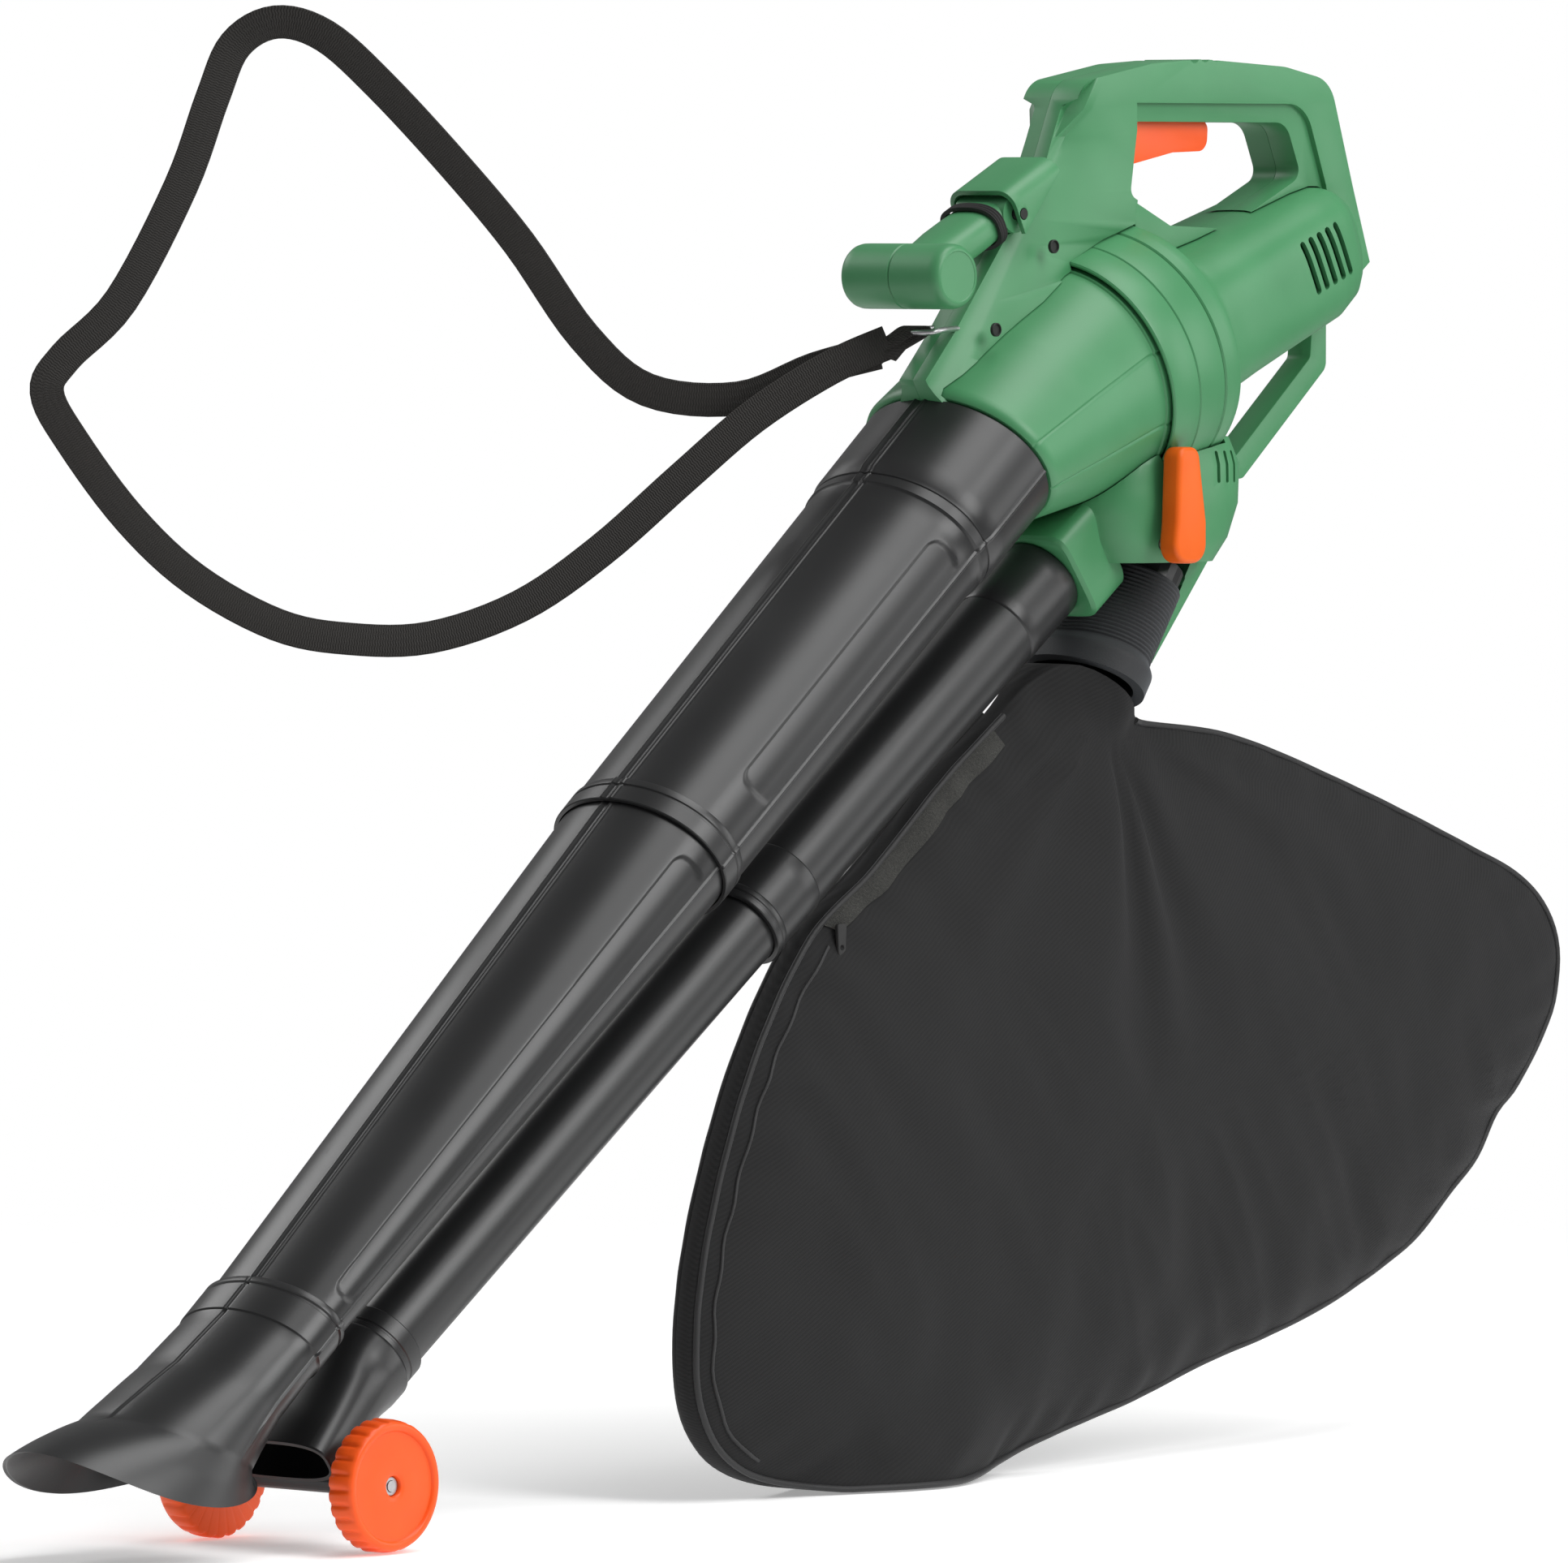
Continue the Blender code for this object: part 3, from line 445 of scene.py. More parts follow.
def pipe(working, outer, inner, relief=None, angles=TUBE_ANGLES):
    rings = [oval(working, s, 0, a, b, angles=angles, relief=relief) for s, a, b in outer]
    rings += [oval(working, s, 0, a, b, angles=angles) for s, a, b in inner[::-1]]
    return skin(rings, closed_length=True)


upper_keys = [(28, 43.6, 60.6), (27, 44.2, 61.2), (-0.2, 44.2, 61.2), (-0.6, 48, 65), (-1.6, 48.8, 65.8),
              (-61, 48.4, 65.4), (-63.5, 47.6, 64.6), (-65.5, 47.4, 64.2), (-66, 46.6, 63.4), (-67, 46.6, 63.4),
              (-67.5, 47.3, 64.2), (-73, 47.2, 64), (-74.2, 46.3, 63), (-75, 46.1, 62.7), (-333, 44.4, 60.2),
              (-333.6, 45.4, 61.2), (-334.4, 45.7, 61.5), (-338, 45.7, 61.5), (-338.7, 44.9, 60.8),
              (-339.8, 44.9, 60.8), (-340.4, 45.7, 61.5), (-350.4, 45.6, 61.4), (-351, 45, 60.8)]
upper_bore = [(28, 41.8, 58.8), (-300, 41.6, 57.4), (-321, 43.2, 59), (-351, 43.2, 59)]
upper_relief = tube_relief(-90, -302)
show("suction_pipe_upper", pipe(TUBE, stations(upper_keys, (-90, -302)), upper_bore,
                                lambda s, th: 0.0 if s > -1 else upper_relief(s, th)),
     black_shell, nodes=["upper_suction_tube"])

lower_keys = [(-322, 42.6, 58.4), (-352, 42.4, 58.2), (-733, 26.2, 48.2), (-759, 26, 48)]
lower_bore = [(s, a - 2.4, b - 2.4) for s, a, b in lower_keys]
lower_relief = tube_relief(-364, -722)
show("suction_pipe_lower", pipe(TUBE, stations(lower_keys, (-364, -722)), lower_bore,
                                lambda s, th: 0.0 if s > -351.5 or s < -733 else lower_relief(s, th)),
     black_shell, nodes=["lower_suction_tube"])


# Suction nozzle -----------------------------------------------------------------------------------
# The flared mouth that gathers the leaves, moulded with the same rib line and snapped over the pipe's end.
# Its mouth is cut almost level with the ground and has a thin rounded lip.
NOZZLE_KEYS = ((-734, 0, 28.4, 50.4, 0, 0), (-735, 0, 29, 51, 0, 0), (-738, 0, 29, 51, 0, 0),
               (-738.8, 0, 28, 50, 0, 0), (-740.2, 0, 28, 50, 0, 0), (-741, 0, 29, 51, 0, 0),
               (-760, 0, 29, 51, 0, 0), (-761, 0, 28.2, 50.2, 0, 0), (-762.5, 0.1, 28, 50, 1, 0),
               (-802, 1.5, 31, 51.5, 10, 0), (-828, 2.8, 38, 54, 19, 2), (-844, 3.9, 43.6, 55.8, 26.6, 3.8),
               (-845.4, 4.1, 45, 56.4, 27.4, 4.2), (-857, 9, 60, 59.5, 35.5, 12),
               (-868, 14.5, 77, 62, 44, 22))


def nozzle_relief(along, angle):
    fade = ease(along, -850, -842)
    seam = -1.1 * ridge(angle, 2.2) * fade
    rib = 1.3 * ridge(abs(angle) - RIB_ANGLE, 2.4) * ease(along, -850, -800)
    return seam + rib


nozzle_rings = []
for key, after in zip(NOZZLE_KEYS, NOZZLE_KEYS[1:]):
    splits = 6 if key[0] - after[0] > 5 else 1
    for step in range(splits):
        share = step / splits
        s, n, a, b, tilt, sag = [first + (second - first) * share for first, second in zip(key, after)]
        nozzle_rings.append(oval(TUBE, s, n, a, b, tilt, sag, angles=TUBE_ANGLES, relief=nozzle_relief))
s, n, a, b, tilt, sag = NOZZLE_KEYS[-1]
for out, back in ((0, 0), (-1.2, -0.6), (-2.4, 0)):
    nozzle_rings.append(oval(TUBE, s - back, n, a + out, b + out, tilt, sag, angles=TUBE_ANGLES))
for key in (NOZZLE_KEYS[12], NOZZLE_KEYS[10], NOZZLE_KEYS[9], NOZZLE_KEYS[7]):
    s, n, a, b, tilt, sag = key
    nozzle_rings.append(oval(TUBE, s, n, a - 2.4, b - 2.4, tilt, sag, angles=TUBE_ANGLES))
nozzle_rings.append(oval(TUBE, -760, 0, 26.6, 48.6, angles=TUBE_ANGLES))
nozzle_rings.append(oval(TUBE, -734, 0, 26.6, 48.6, angles=TUBE_ANGLES))
show("leaf_nozzle", skin(nozzle_rings, closed_length=True), black_shell,
     nodes=["suction_nozzle"])


# Blow tube ----------------------------------------------------------------------------------------
# A round pipe in two lengths under the suction pipe, with a moulded collar at the joint, ending in a flat
# nozzle that lays the air along the ground.
BLOW_PITCH = 36.56
blow_top = TUBE @ Vector((13, 0, -99.6)) - DATUM
BLOW = drawn(blow_top.x / MM, blow_top.z / MM, BLOW_PITCH)
ROUND = range(0, 360, 4)
blow_upper = [(24, 24.6), (0.4, 24.6), (0, 26), (-1, 26.5), (-49, 26.5), (-50, 26.2), (-50.6, 25.6),
              (-280, 25.4), (-280.6, 26), (-281.6, 26.3), (-316.5, 26.4), (-317.2, 26.9), (-318, 27.2),
              (-320.6, 27.2),
              (-321.2, 26.6), (-322, 26.6), (-322.6, 27.2), (-325.4, 27.2), (-326, 26.7)]
blow_upper_bore = [(24, 22.2), (-285, 22.2), (-295, 24.3), (-326, 24.3)]
show("blow_pipe_upper", pipe(BLOW, stations([(s, r, r) for s, r in blow_upper]),
     [(s, r, r) for s, r in blow_upper_bore], angles=ROUND), black_shell,
     nodes=["upper_blow_tube"])
blow_lower = [(-296, 23.8), (-704, 22.5), (-720, 22.4)]
show("blow_pipe_lower", pipe(BLOW, stations([(s, r, r) for s, r in blow_lower]),
     [(s, r - 2.4, r - 2.4) for s, r in blow_lower], angles=ROUND), black_shell,
     nodes=["lower_blow_tube"])

BLOW_NOZZLE = ((-692, 0, 24.8, 24.8, 2), (-692.8, 0, 25.4, 25.4, 2), (-702, 0, 25.4, 25.4, 2),
               (-702.6, 0, 24.8, 24.8, 2), (-703.6, 0, 24.8, 24.8, 2), (-704.2, 0, 25.4, 25.4, 2),
               (-707, 0, 25.4, 25.4, 2), (-708.6, 0, 27, 27, 2), (-710, 0, 27.4, 27.4, 2),
               (-721, 0, 27.2, 27.4, 2), (-733, 1, 24.4, 29, 2.2), (-745, 2, 22, 32, 2.4),
               (-772, 3, 18.2, 38, 2.8), (-799, 4, 15, 44, 3.2), (-800, 4, 14.4, 43.4, 3.2))
blow_rings = [oval(BLOW, s, n, a, b, power=p) for s, n, a, b, p in BLOW_NOZZLE]
blow_rings += [oval(BLOW, s, n, a - 2.2, b - 2.2, power=p) for s, n, a, b, p in BLOW_NOZZLE[:8:-1]]
blow_rings += [oval(BLOW, s, 0, 23, 23) for s in (-721, -692)]
show("blow_mouth", skin(blow_rings, closed_length=True), black_shell,
     nodes=["blow_nozzle"])


# Wheels -------------------------------------------------------------------------------------------
# Two solid wheels moulded in bright orange plastic, with a scalloped tread that bites on a lawn and a hub
# hole that shows the end of the steel axle. Push-on clips hold them.
AXLE = (-402, 37)
SCALLOPS = 26

orange_shell = Finish("orange_plastic", roughness=0.36)
pearl = orange_shell.noise(0.6, detail=2)
cloud = orange_shell.noise(25, detail=4)
dirt = orange_shell.noise(3, detail=6, roughness=0.7).above(0.64, 0.8)
fresh = orange_shell.mix(cloud, (0.90, 0.085, 0.006), (0.95, 0.115, 0.012))
orange_shell.set(base_color=orange_shell.mix(dirt * 0.25, fresh, (0.5, 0.08, 0.02)))
orange_shell.set(roughness=0.32 + cloud * 0.1 + dirt * 0.2)
orange_shell.bump(pearl, 0.03)
orange_shell.shader.inputs["Specular IOR Level"].default_value = 0.35

WHEEL_PROFILE = ((3.6, 58), (34.5, 58), (36.2, 58.6), (37, 60), (36.9, 66), (36.5, 70), (36, 72.6),
                 (35.2, 74.2), (34, 75), (31.6, 75), (30.8, 74.4), (30.2, 73.2), (29, 73), (18, 73.9),
                 (9, 73.9), (6.4, 73.6), (5.7, 73), (5.6, 69.5), (3.6, 69.5))


def wheel_mesh(sign):
    rings = []
    for radius, out in WHEEL_PROFILE:
        tread = ease(radius, 34.9, 36) * ease(74.6 - out, 0, 6)
        ring = []
        for step in range(SCALLOPS * 12):
            angle = 2 * math.pi * step / (SCALLOPS * 12)
            dip = (0.5 - 0.5 * math.cos(angle * SCALLOPS)) ** 3
            reach_out = radius - 1.5 * dip * tread
            ring.append(SIDE @ Vector((AXLE[0] + reach_out * math.sin(angle), sign * out,
                                       AXLE[1] - reach_out * math.cos(angle))))
        rings.append(ring)
    return skin(rings, closed_length=True)


for side, sign in (("left", -1), ("right", 1)):
    show(side + "_road_wheel", wheel_mesh(sign), orange_shell, body=side + "_wheel",
         nodes=[side + "_wheel"], sharp=50)

bright_steel = Finish("bright_steel", roughness=0.3, metallic=1.0)
lathe_marks = bright_steel.noise(1.5, detail=3, stretch=(1, 6, 1))
bright_steel.set(base_color=bright_steel.mix(lathe_marks, (0.42, 0.42, 0.43), (0.6, 0.6, 0.61)))
bright_steel.set(roughness=0.25 + lathe_marks * 0.25)
bright_steel.bump(lathe_marks, 0.02)

dark_rubber = Finish("dark_rubber", roughness=0.7)
pores = dark_rubber.noise(0.5, detail=3)
dark_rubber.set(base_color=dark_rubber.mix(pores, (0.012, 0.012, 0.012), (0.024, 0.024, 0.024)))
dark_rubber.set(roughness=0.6 + pores * 0.25)
dark_rubber.bump(pores, 0.03)

copper_wire = Finish("copper_windings", roughness=0.35, metallic=1.0)
turns = copper_wire.noise(0.8, detail=2, stretch=(8, 1, 1))
copper_wire.set(base_color=copper_wire.mix(turns, (0.35, 0.12, 0.05), (0.75, 0.32, 0.16)))
copper_wire.set(roughness=0.3 + turns * 0.3)
copper_wire.bump(turns, 0.1)


def dress(finish, *nodes):
    """Gives nodes of the frame that keep their shape a finish of their own."""
    for node in nodes:
        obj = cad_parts[node]
        obj.data.materials.clear()
        obj.data.materials.append(finish.material)


dress(bright_steel, "axle", "left_axle_clip", "right_axle_clip", "trigger_pin", "trigger_spring",
      "lever_shaft", "impeller_nut", "motor_shaft", "front_bearing", "rear_bearing", "stator", "impeller")
dress(copper_wire, "armature", "commutator", "left_brush_holder", "right_brush_holder")
dress(black_shell, "axle_bracket", "trigger_switch", "cooling_fan", "motor_flange", "diverter_flap",
      "bag_spigot")


# Intake cone and fan case -------------------------------------------------------------------------
# Green moulded shells that lead from the oval tube to the round shredding fan. The cone's rim sits in front
# of a deep groove, lined with a black ring as painted shade, behind which the fan's band stands proud.
MOTOR_PITCH = 19
MOTOR = drawn(255, 638, MOTOR_PITCH)
CONE_MIDDLE = drawn(200, 615, 29)

green_shell = Finish("green_plastic", roughness=0.4)
skin_grain = green_shell.noise(0.55, detail=2)
patch = green_shell.noise(45, detail=3)
marks = green_shell.noise(4, detail=6, roughness=0.75).above(0.66, 0.8)
leaf_green = green_shell.mix(patch, (0.046, 0.215, 0.084), (0.070, 0.270, 0.116))
green_shell.set(base_color=green_shell.mix(marks * 0.3, leaf_green, (0.04, 0.15, 0.07)))
green_shell.set(roughness=0.34 + patch * 0.08 + skin_grain * 0.08 + marks * 0.12)
green_shell.bump(skin_grain, 0.035)

# Near-black finish: the own colour of the screw heads and the pin, and painted shade where it lines the fan
# groove.
black_and_groove_shade = Finish("black_and_groove_shade", roughness=0.55)
dust = black_and_groove_shade.noise(2, detail=4)
black_and_groove_shade.set(base_color=black_and_groove_shade.mix(dust, (0.004, 0.006, 0.005), (0.012, 0.016, 0.013)))
black_and_groove_shade.set(roughness=0.5 + dust * 0.3)
black_and_groove_shade.bump(dust, 0.05)


def between(first, second, steps):
    """Rings blended from one section to the next, the last one left out."""
    for step in range(steps):
        yield [a.lerp(b, step / steps) for a, b in zip(first, second)]


CONE_ANGLES = fine_angles((-79, -73), (-116, -110), (73, 79), (110, 116))


def cone_line(along, angle):
    """Two shallow parting lines run down each side of the cone."""
    return -0.8 * ridge(abs(angle) - 76, 1.3) - 0.8 * ridge(abs(angle) - 113, 1.3)


def cone_ring(working, along, a, b, relief=cone_line):
    return oval(working, along, 0, a, b, angles=CONE_ANGLES, relief=relief)


cone_keys = [cone_ring(TUBE, 0.6, 49.4, 66.4), cone_ring(TUBE, 1.6, 50.6, 67.4), cone_ring(TUBE, 5, 52, 68.4),
             cone_ring(CONE_MIDDLE, 0, 60.5, 69.3), cone_ring(MOTOR, -8, 68.3, 68.3),
             cone_ring(MOTOR, -2, 68.6, 68.6), cone_ring(MOTOR, -1.4, 69.8, 69.8),
             cone_ring(MOTOR, 2.4, 69.8, 69.8), cone_ring(MOTOR, 3, 69, 69), cone_ring(MOTOR, 8.6, 69, 69)]
cone_splits = (1, 1, 16, 14, 3, 1, 1, 1, 1)
cone_rings = []
for first, second, splits in zip(cone_keys, cone_keys[1:], cone_splits):
    cone_rings += between(first, second, splits)
cone_rings.append(cone_keys[-1])
for working, along, a, b in ((MOTOR, 8.6, 66, 66), (CONE_MIDDLE, 0, 57.5, 66.3), (TUBE, 29, 45, 62),
                             (TUBE, 0.6, 45, 62)):
    cone_rings.append(cone_ring(working, along, a, b, relief=None))
show("cone_shell", skin(cone_rings, closed_length=True), green_shell, nodes=["intake_cone"])


def lathe(working, profile, steps=144):
    """Turns a closed profile of (radius, along) round the working frame's x axis."""
    rings = []
    for radius, along in profile:
        rings.append([working @ Vector((along, radius * math.sin(2 * math.pi * i / steps),
                                        radius * math.cos(2 * math.pi * i / steps))) for i in range(steps)])
    return skin(rings, closed_length=True)


case_front = ((50, 9.2), (71.6, 9.2), (71.6, 1), (72.4, 0), (73.4, 0), (74.4, 0.8), (74.9, 2.4), (75.9, 21.2),
              (75.6, 22), (73, 22), (72.6, 12), (50, 12))
show("fan_band_front", lathe(MOTOR, case_front), green_shell, nodes=["fan_case_front"])
case_rear = ((73, 22.3), (75.5, 22.3), (76.1, 23), (77, 43.4), (76.4, 44.6), (75, 45), (46, 45), (46, 42),
             (73.4, 42))
show("fan_band_rear", lathe(MOTOR, case_rear), green_shell, nodes=["fan_case_rear"])
# A thin black ring at the bottom of the groove between cone and band: painted shade for the deep gap.
show("fan_groove_painted_shade", lathe(MOTOR, ((69.3, 8.7), (71.4, 8.7), (71.4, 9.1), (69.3, 9.1))), black_and_groove_shade)

# Motor housing ------------------------------------------------------------------------------------
# Two green half shells round the motor, with a stepped flange at the fan end and five slanted air slots at
# the rear of each. A cover closes the back.
HOUSING = ((45.4, 0, 76, 76, 2), (46.4, 0, 77, 77, 2), (58.4, 0, 77, 77, 2), (60.4, 0, 76, 76, 2),
           (62, 1, 70, 72, 2), (66, 2, 58, 66, 2.3), (72, 3, 50, 61, 2.6), (90, 3.5, 46, 58.6, 3),
           (110, 4, 44, 57, 3.2), (150, 4.5, 42.6, 52.6, 3.3), (200, 5, 40.8, 48, 3.4),
           (218, 6.6, 37.6, 44.2, 3.4), (226, 7.6, 34, 40.4, 3.3), (230, 8, 30.6, 36.8, 3))
SLOT_COUNT = 5
SLOT_GAP = 9


def section_points(working, along, across, a, b, power, sign, steps=48):
    """One side of a rounded section, from its top round to its bottom."""
    points = []
    for step in range(steps + 1):
        turn = math.pi * step / steps
        up = math.copysign(abs(math.cos(turn)) ** (2 / power), math.cos(turn))
        side = abs(math.sin(turn)) ** (2 / power)
        points.append(Vector((along, sign * max(0.15, b * side), across + a * up)))
    return [working @ point for point in points]


def half_shell(sign):
    rings = []
    for (s0, n0, a0, b0, p0), (s1, n1, a1, b1, p1) in zip(HOUSING, HOUSING[1:]):
        splits = max(1, int((s1 - s0) / 6))
        for step in range(splits):
            t = step / splits
            s, n, a, b, p = (v + (w - v) * t for v, w in zip((s0, n0, a0, b0, p0), (s1, n1, a1, b1, p1)))
            outer = section_points(MOTOR, s, n, a, b, p, sign)
            rings.append(outer + section_points(MOTOR, s, n, a - 3, b - 3, p, sign)[::-1])
    s, n, a, b, p = HOUSING[-1]
    outer = section_points(MOTOR, s, n, a, b, p, sign)
    rings.append(outer + section_points(MOTOR, s, n, a - 3, b - 3, p, sign)[::-1])
    return skin(rings)


def plan_arc(corners):
    """Corner points (x, z) or (x, z, radius) turned into a closed outline with round corners."""
    outline = []
    count = len(corners)
    for i, corner in enumerate(corners):
        here = Vector(corner[:2])
        radius = corner[2] if len(corner) > 2 else 0
        if not radius:
            outline.append(here)
            continue
        before = (Vector(corners[i - 1][:2]) - here).normalized()
        after = (Vector(corners[(i + 1) % count][:2]) - here).normalized()
        half = before.angle(after) / 2
        cut_back = radius / math.tan(half)
        centre = here + (before + after).normalized() * radius / math.sin(half)
        start = here + before * cut_back - centre
        end = here + after * cut_back - centre
        for step in range(9):
            outline.append(centre + start.slerp(end, step / 8).normalized() * radius)
    return outline


def slab(working, outlines, low, high):
    """A flat outline of the side view, holes after it, given a width from y = low to high."""
    curve = bpy.data.curves.new("outline", "CURVE")
    curve.dimensions = "2D"
    curve.fill_mode = "BOTH"
    curve.extrude = (high - low) / 2
    for corners in outlines:
        points = plan_arc(corners)
        spline = curve.splines.new("POLY")
        spline.points.add(len(points) - 1)
        for point, place in zip(spline.points, points):
            point.co = (place.x, place.y, 0, 1)
        spline.use_cyclic_u = True
    flat = bpy.data.objects.new("outline", curve)
    bpy.context.scene.collection.objects.link(flat)
    bpy.context.view_layer.update()
    mesh = bpy.data.meshes.new_from_object(flat.evaluated_get(bpy.context.evaluated_depsgraph_get()))
    bpy.data.objects.remove(flat)
    bm = bmesh.new()
    bm.from_mesh(mesh)
    bmesh.ops.remove_doubles(bm, verts=bm.verts, dist=0.001)
    bmesh.ops.dissolve_limit(bm, angle_limit=0.001, verts=bm.verts, edges=bm.edges)
    stand = working @ Matrix.Translation((0, (low + high) / 2, 0)) @ Matrix.Rotation(math.pi / 2, 4, "X")
    bmesh.ops.transform(bm, matrix=stand, verts=bm.verts)
    return sealed(bm)


def carve(mesh, cuts=(), joins=(), bevel=0.0, segments=3, angle=40):
    """Joins and cuts meshes with Booleans, then rounds the edges by bevel millimetres."""
    base = bpy.data.objects.new("work", mesh)
    bpy.context.scene.collection.objects.link(base)
    helpers = []
    for operation, others in (("UNION", joins), ("DIFFERENCE", cuts)):
        for other in others:
            helper = bpy.data.objects.new("helper", other)
            bpy.context.scene.collection.objects.link(helper)
            helpers.append(helper)
            step = base.modifiers.new("step", "BOOLEAN")
            step.operation = operation
            step.object = helper
            step.solver = "EXACT"
    if bevel:
        edges = base.modifiers.new("round", "BEVEL")
        edges.width = bevel * MM
        edges.segments = segments
        edges.limit_method = "ANGLE"
        edges.angle_limit = math.radians(angle)
        edges.use_clamp_overlap = True
    bpy.context.view_layer.update()
    result = bpy.data.meshes.new_from_object(base.evaluated_get(bpy.context.evaluated_depsgraph_get()))
    for helper in helpers + [base]:
        bpy.data.objects.remove(helper)
    return result


def rod(working, radius, low, high, steps=48):
    """A plain round bar along the working frame's y axis, for cutting and joining."""
    rings = []
    for y in (low, high):
        rings.append([working @ Vector((radius * math.sin(2 * math.pi * i / steps), y,
                                        radius * math.cos(2 * math.pi * i / steps))) for i in range(steps)])
    return skin(rings)


for side, sign in (("left", -1), ("right", 1)):
    slots = []
    for slot in range(SLOT_COUNT):
        along = 163 + SLOT_GAP * slot
        outline = [(along, 27, 2.2), (along + 5, 28, 2.2), (along + 10, -6, 2.2), (along + 5, -7, 2.2)]
        slots.append(slab(MOTOR, [outline], -80, 80))
    show("motor_shell_" + side, carve(half_shell(sign), cuts=slots), green_shell,
         nodes=["motor_housing_" + side], sharp=38)

cover = [oval(MOTOR, s, n, a, b, power=3) for s, n, a, b in
         ((230.3, 8, 30.4, 36.6), (232.6, 8, 29.6, 35.8), (234, 8, 27.6, 33.8))]
show("motor_end_cover", skin(cover), green_shell, nodes=["motor_rear_cover"])


# Rear handle --------------------------------------------------------------------------------------
# Two mirrored green halves, moulded as one closed loop with the front column and the rear post. A frame is
# sunk round the finger hole, and grooves across the top of the grip leave finger ribs.
HANDLE_HALF = 21
HANDLE_OUTER = ((111, 639), (136, 666, 8), (216, 764, 30), (237, 812, 20), (300, 823, 60), (346, 826, 80),
                (421, 822, 60), (463, 814, 22), (484, 751, 30), (500, 706), (488, 697), (455, 712),
                (300, 690), (250, 690), (190, 640), (120, 624))
FINGER_HOLE = ((287, 789, 6), (426, 789, 14), (440, 757, 8), (372, 726, 10), (320, 728), (279, 746, 6))
FRAME_EDGE = ((286, 800), (440, 800, 22), (463, 742, 10), (352, 708), (352, 690), (286, 690))


def deepen(mesh):
    """Draws the foot of the column out sideways, and its front edge in to a bow."""
    bm = bmesh.new()
    bm.from_mesh(mesh)
    for cut in range(1, 12):
        place = SIDE @ Vector((0, 0, 620 + 16 * cut))
        bmesh.ops.bisect_plane(bm, geom=bm.verts[:] + bm.edges[:] + bm.faces[:], plane_co=place,
                               plane_no=(0, 0, 1))
    for cut in range(1, 9):
        place = SIDE @ Vector((110 + 16 * cut, 0, 640 + 18 * cut))
        bmesh.ops.bisect_plane(bm, geom=bm.verts[:] + bm.edges[:] + bm.faces[:], plane_co=place,
                               plane_no=Vector((0.81, 0, -0.59)))
    back = SIDE.inverted()
    for vert in bm.verts:
        spot = back @ vert.co
        front = 113 + (spot.z - 641) * 0.8
        behind = max(0.0, spot.x - front)
        foot = max(0.0, 790 - spot.z) * max(0.0, min(1.0, (300 - spot.x) / 50))
        flare = 0.48 + 0.52 * ease(behind, 0, 34) if spot.x < 236 and spot.z < 800 else 1.0
        spot.y *= flare * (1 + foot / 420 * ease(behind, 10, 70))
        vert.co = SIDE @ spot
    bm.to_mesh(mesh)
    bm.free()
    return mesh


def clearances():
    """Solids a little larger than the round cases, which the handle and the outlet are trimmed with."""
    cone = skin([cone_ring(working, along, a, b, None) for working, along, a, b in (
        (TUBE, 0.4, 51.2, 68.2), (TUBE, 5, 52.8, 69.2), (CONE_MIDDLE, 0, 61.2, 70.2), (MOTOR, -8, 69.2, 69.2),
        (MOTOR, 8.6, 70.2, 70.2))])
    fan = skin([oval(MOTOR, s, 0, r, r) for s, r in ((-0.6, 74), (0, 74.6), (45, 78.4), (61, 78.6))])
    rear = skin([oval(MOTOR, s, n, a + 1, b + 1, power=p) for s, n, a, b, p in HOUSING[3:]])
    return [cone, fan, rear]


FINGER_RIBS = 13
for side, sign in (("left", -1), ("right", 1)):
    low, high = sorted((sign * 0.15, sign * HANDLE_HALF))
    body = deepen(slab(SIDE, [HANDLE_OUTER, FINGER_HOLE], low, high))
    low, high = sorted((sign * (HANDLE_HALF - 3.4), sign * 60))
    pocket = slab(SIDE, [FRAME_EDGE], low, high)
    slot = slab(SIDE, [[(284, 786), (368, 786), (368, 801), (284, 801)]], -12, 12)
    knuckle = rod(drawn(180, 735), 12.4, -60, 60)
    ribs = [rod(drawn(338 + 9.6 * i, 829.6 - 0.0009 * (338 + 9.6 * i - 380) ** 2), 4.6, -30, 30, 24)
            for i in range(FINGER_RIBS)]
    rib_mesh = bmesh.new()
    for rib in ribs:
        rib_mesh.from_mesh(rib)
    rib_cut = sealed(rib_mesh)
    show("handle_half_" + side, carve(body, cuts=[*clearances(), pocket, slot, knuckle, rib_cut], bevel=1.6),
         green_shell, nodes=["handle_" + side], sharp=45)


# Trigger ------------------------------------------------------------------------------------------
# An orange moulded finger plate that hinges on a steel pin inside the handle.
trigger_plate = slab(SIDE, [[(285.5, 797, 3), (300, 797), (303, 789.6), (362, 789.6, 5), (361, 772, 8),
                             (330, 771), (293, 764, 2), (288, 780)]], -11, 11)
trigger_pin_hole = rod(drawn(291, 792), 2.4, -20, 20)
show("trigger_plate", carve(trigger_plate, cuts=[trigger_pin_hole], bevel=2.2), orange_shell,
     body="trigger", nodes=["trigger"], sharp=45)

# Front grip ---------------------------------------------------------------------------------------
# A T handle on a short arm, moulded in green, with its bar in two halves. The arm pivots on a pin in a hood
# on the front column, and a black rubber ring closes the gap round its root.
ARM_START = (180, 735)
GRIP_MIDDLE = (108, 699)
ARM_PITCH = math.degrees(math.atan2(ARM_START[1] - GRIP_MIDDLE[1], ARM_START[0] - GRIP_MIDDLE[0]))
ARM = drawn(*ARM_START, ARM_PITCH)
PIN_HOLE = 3.5

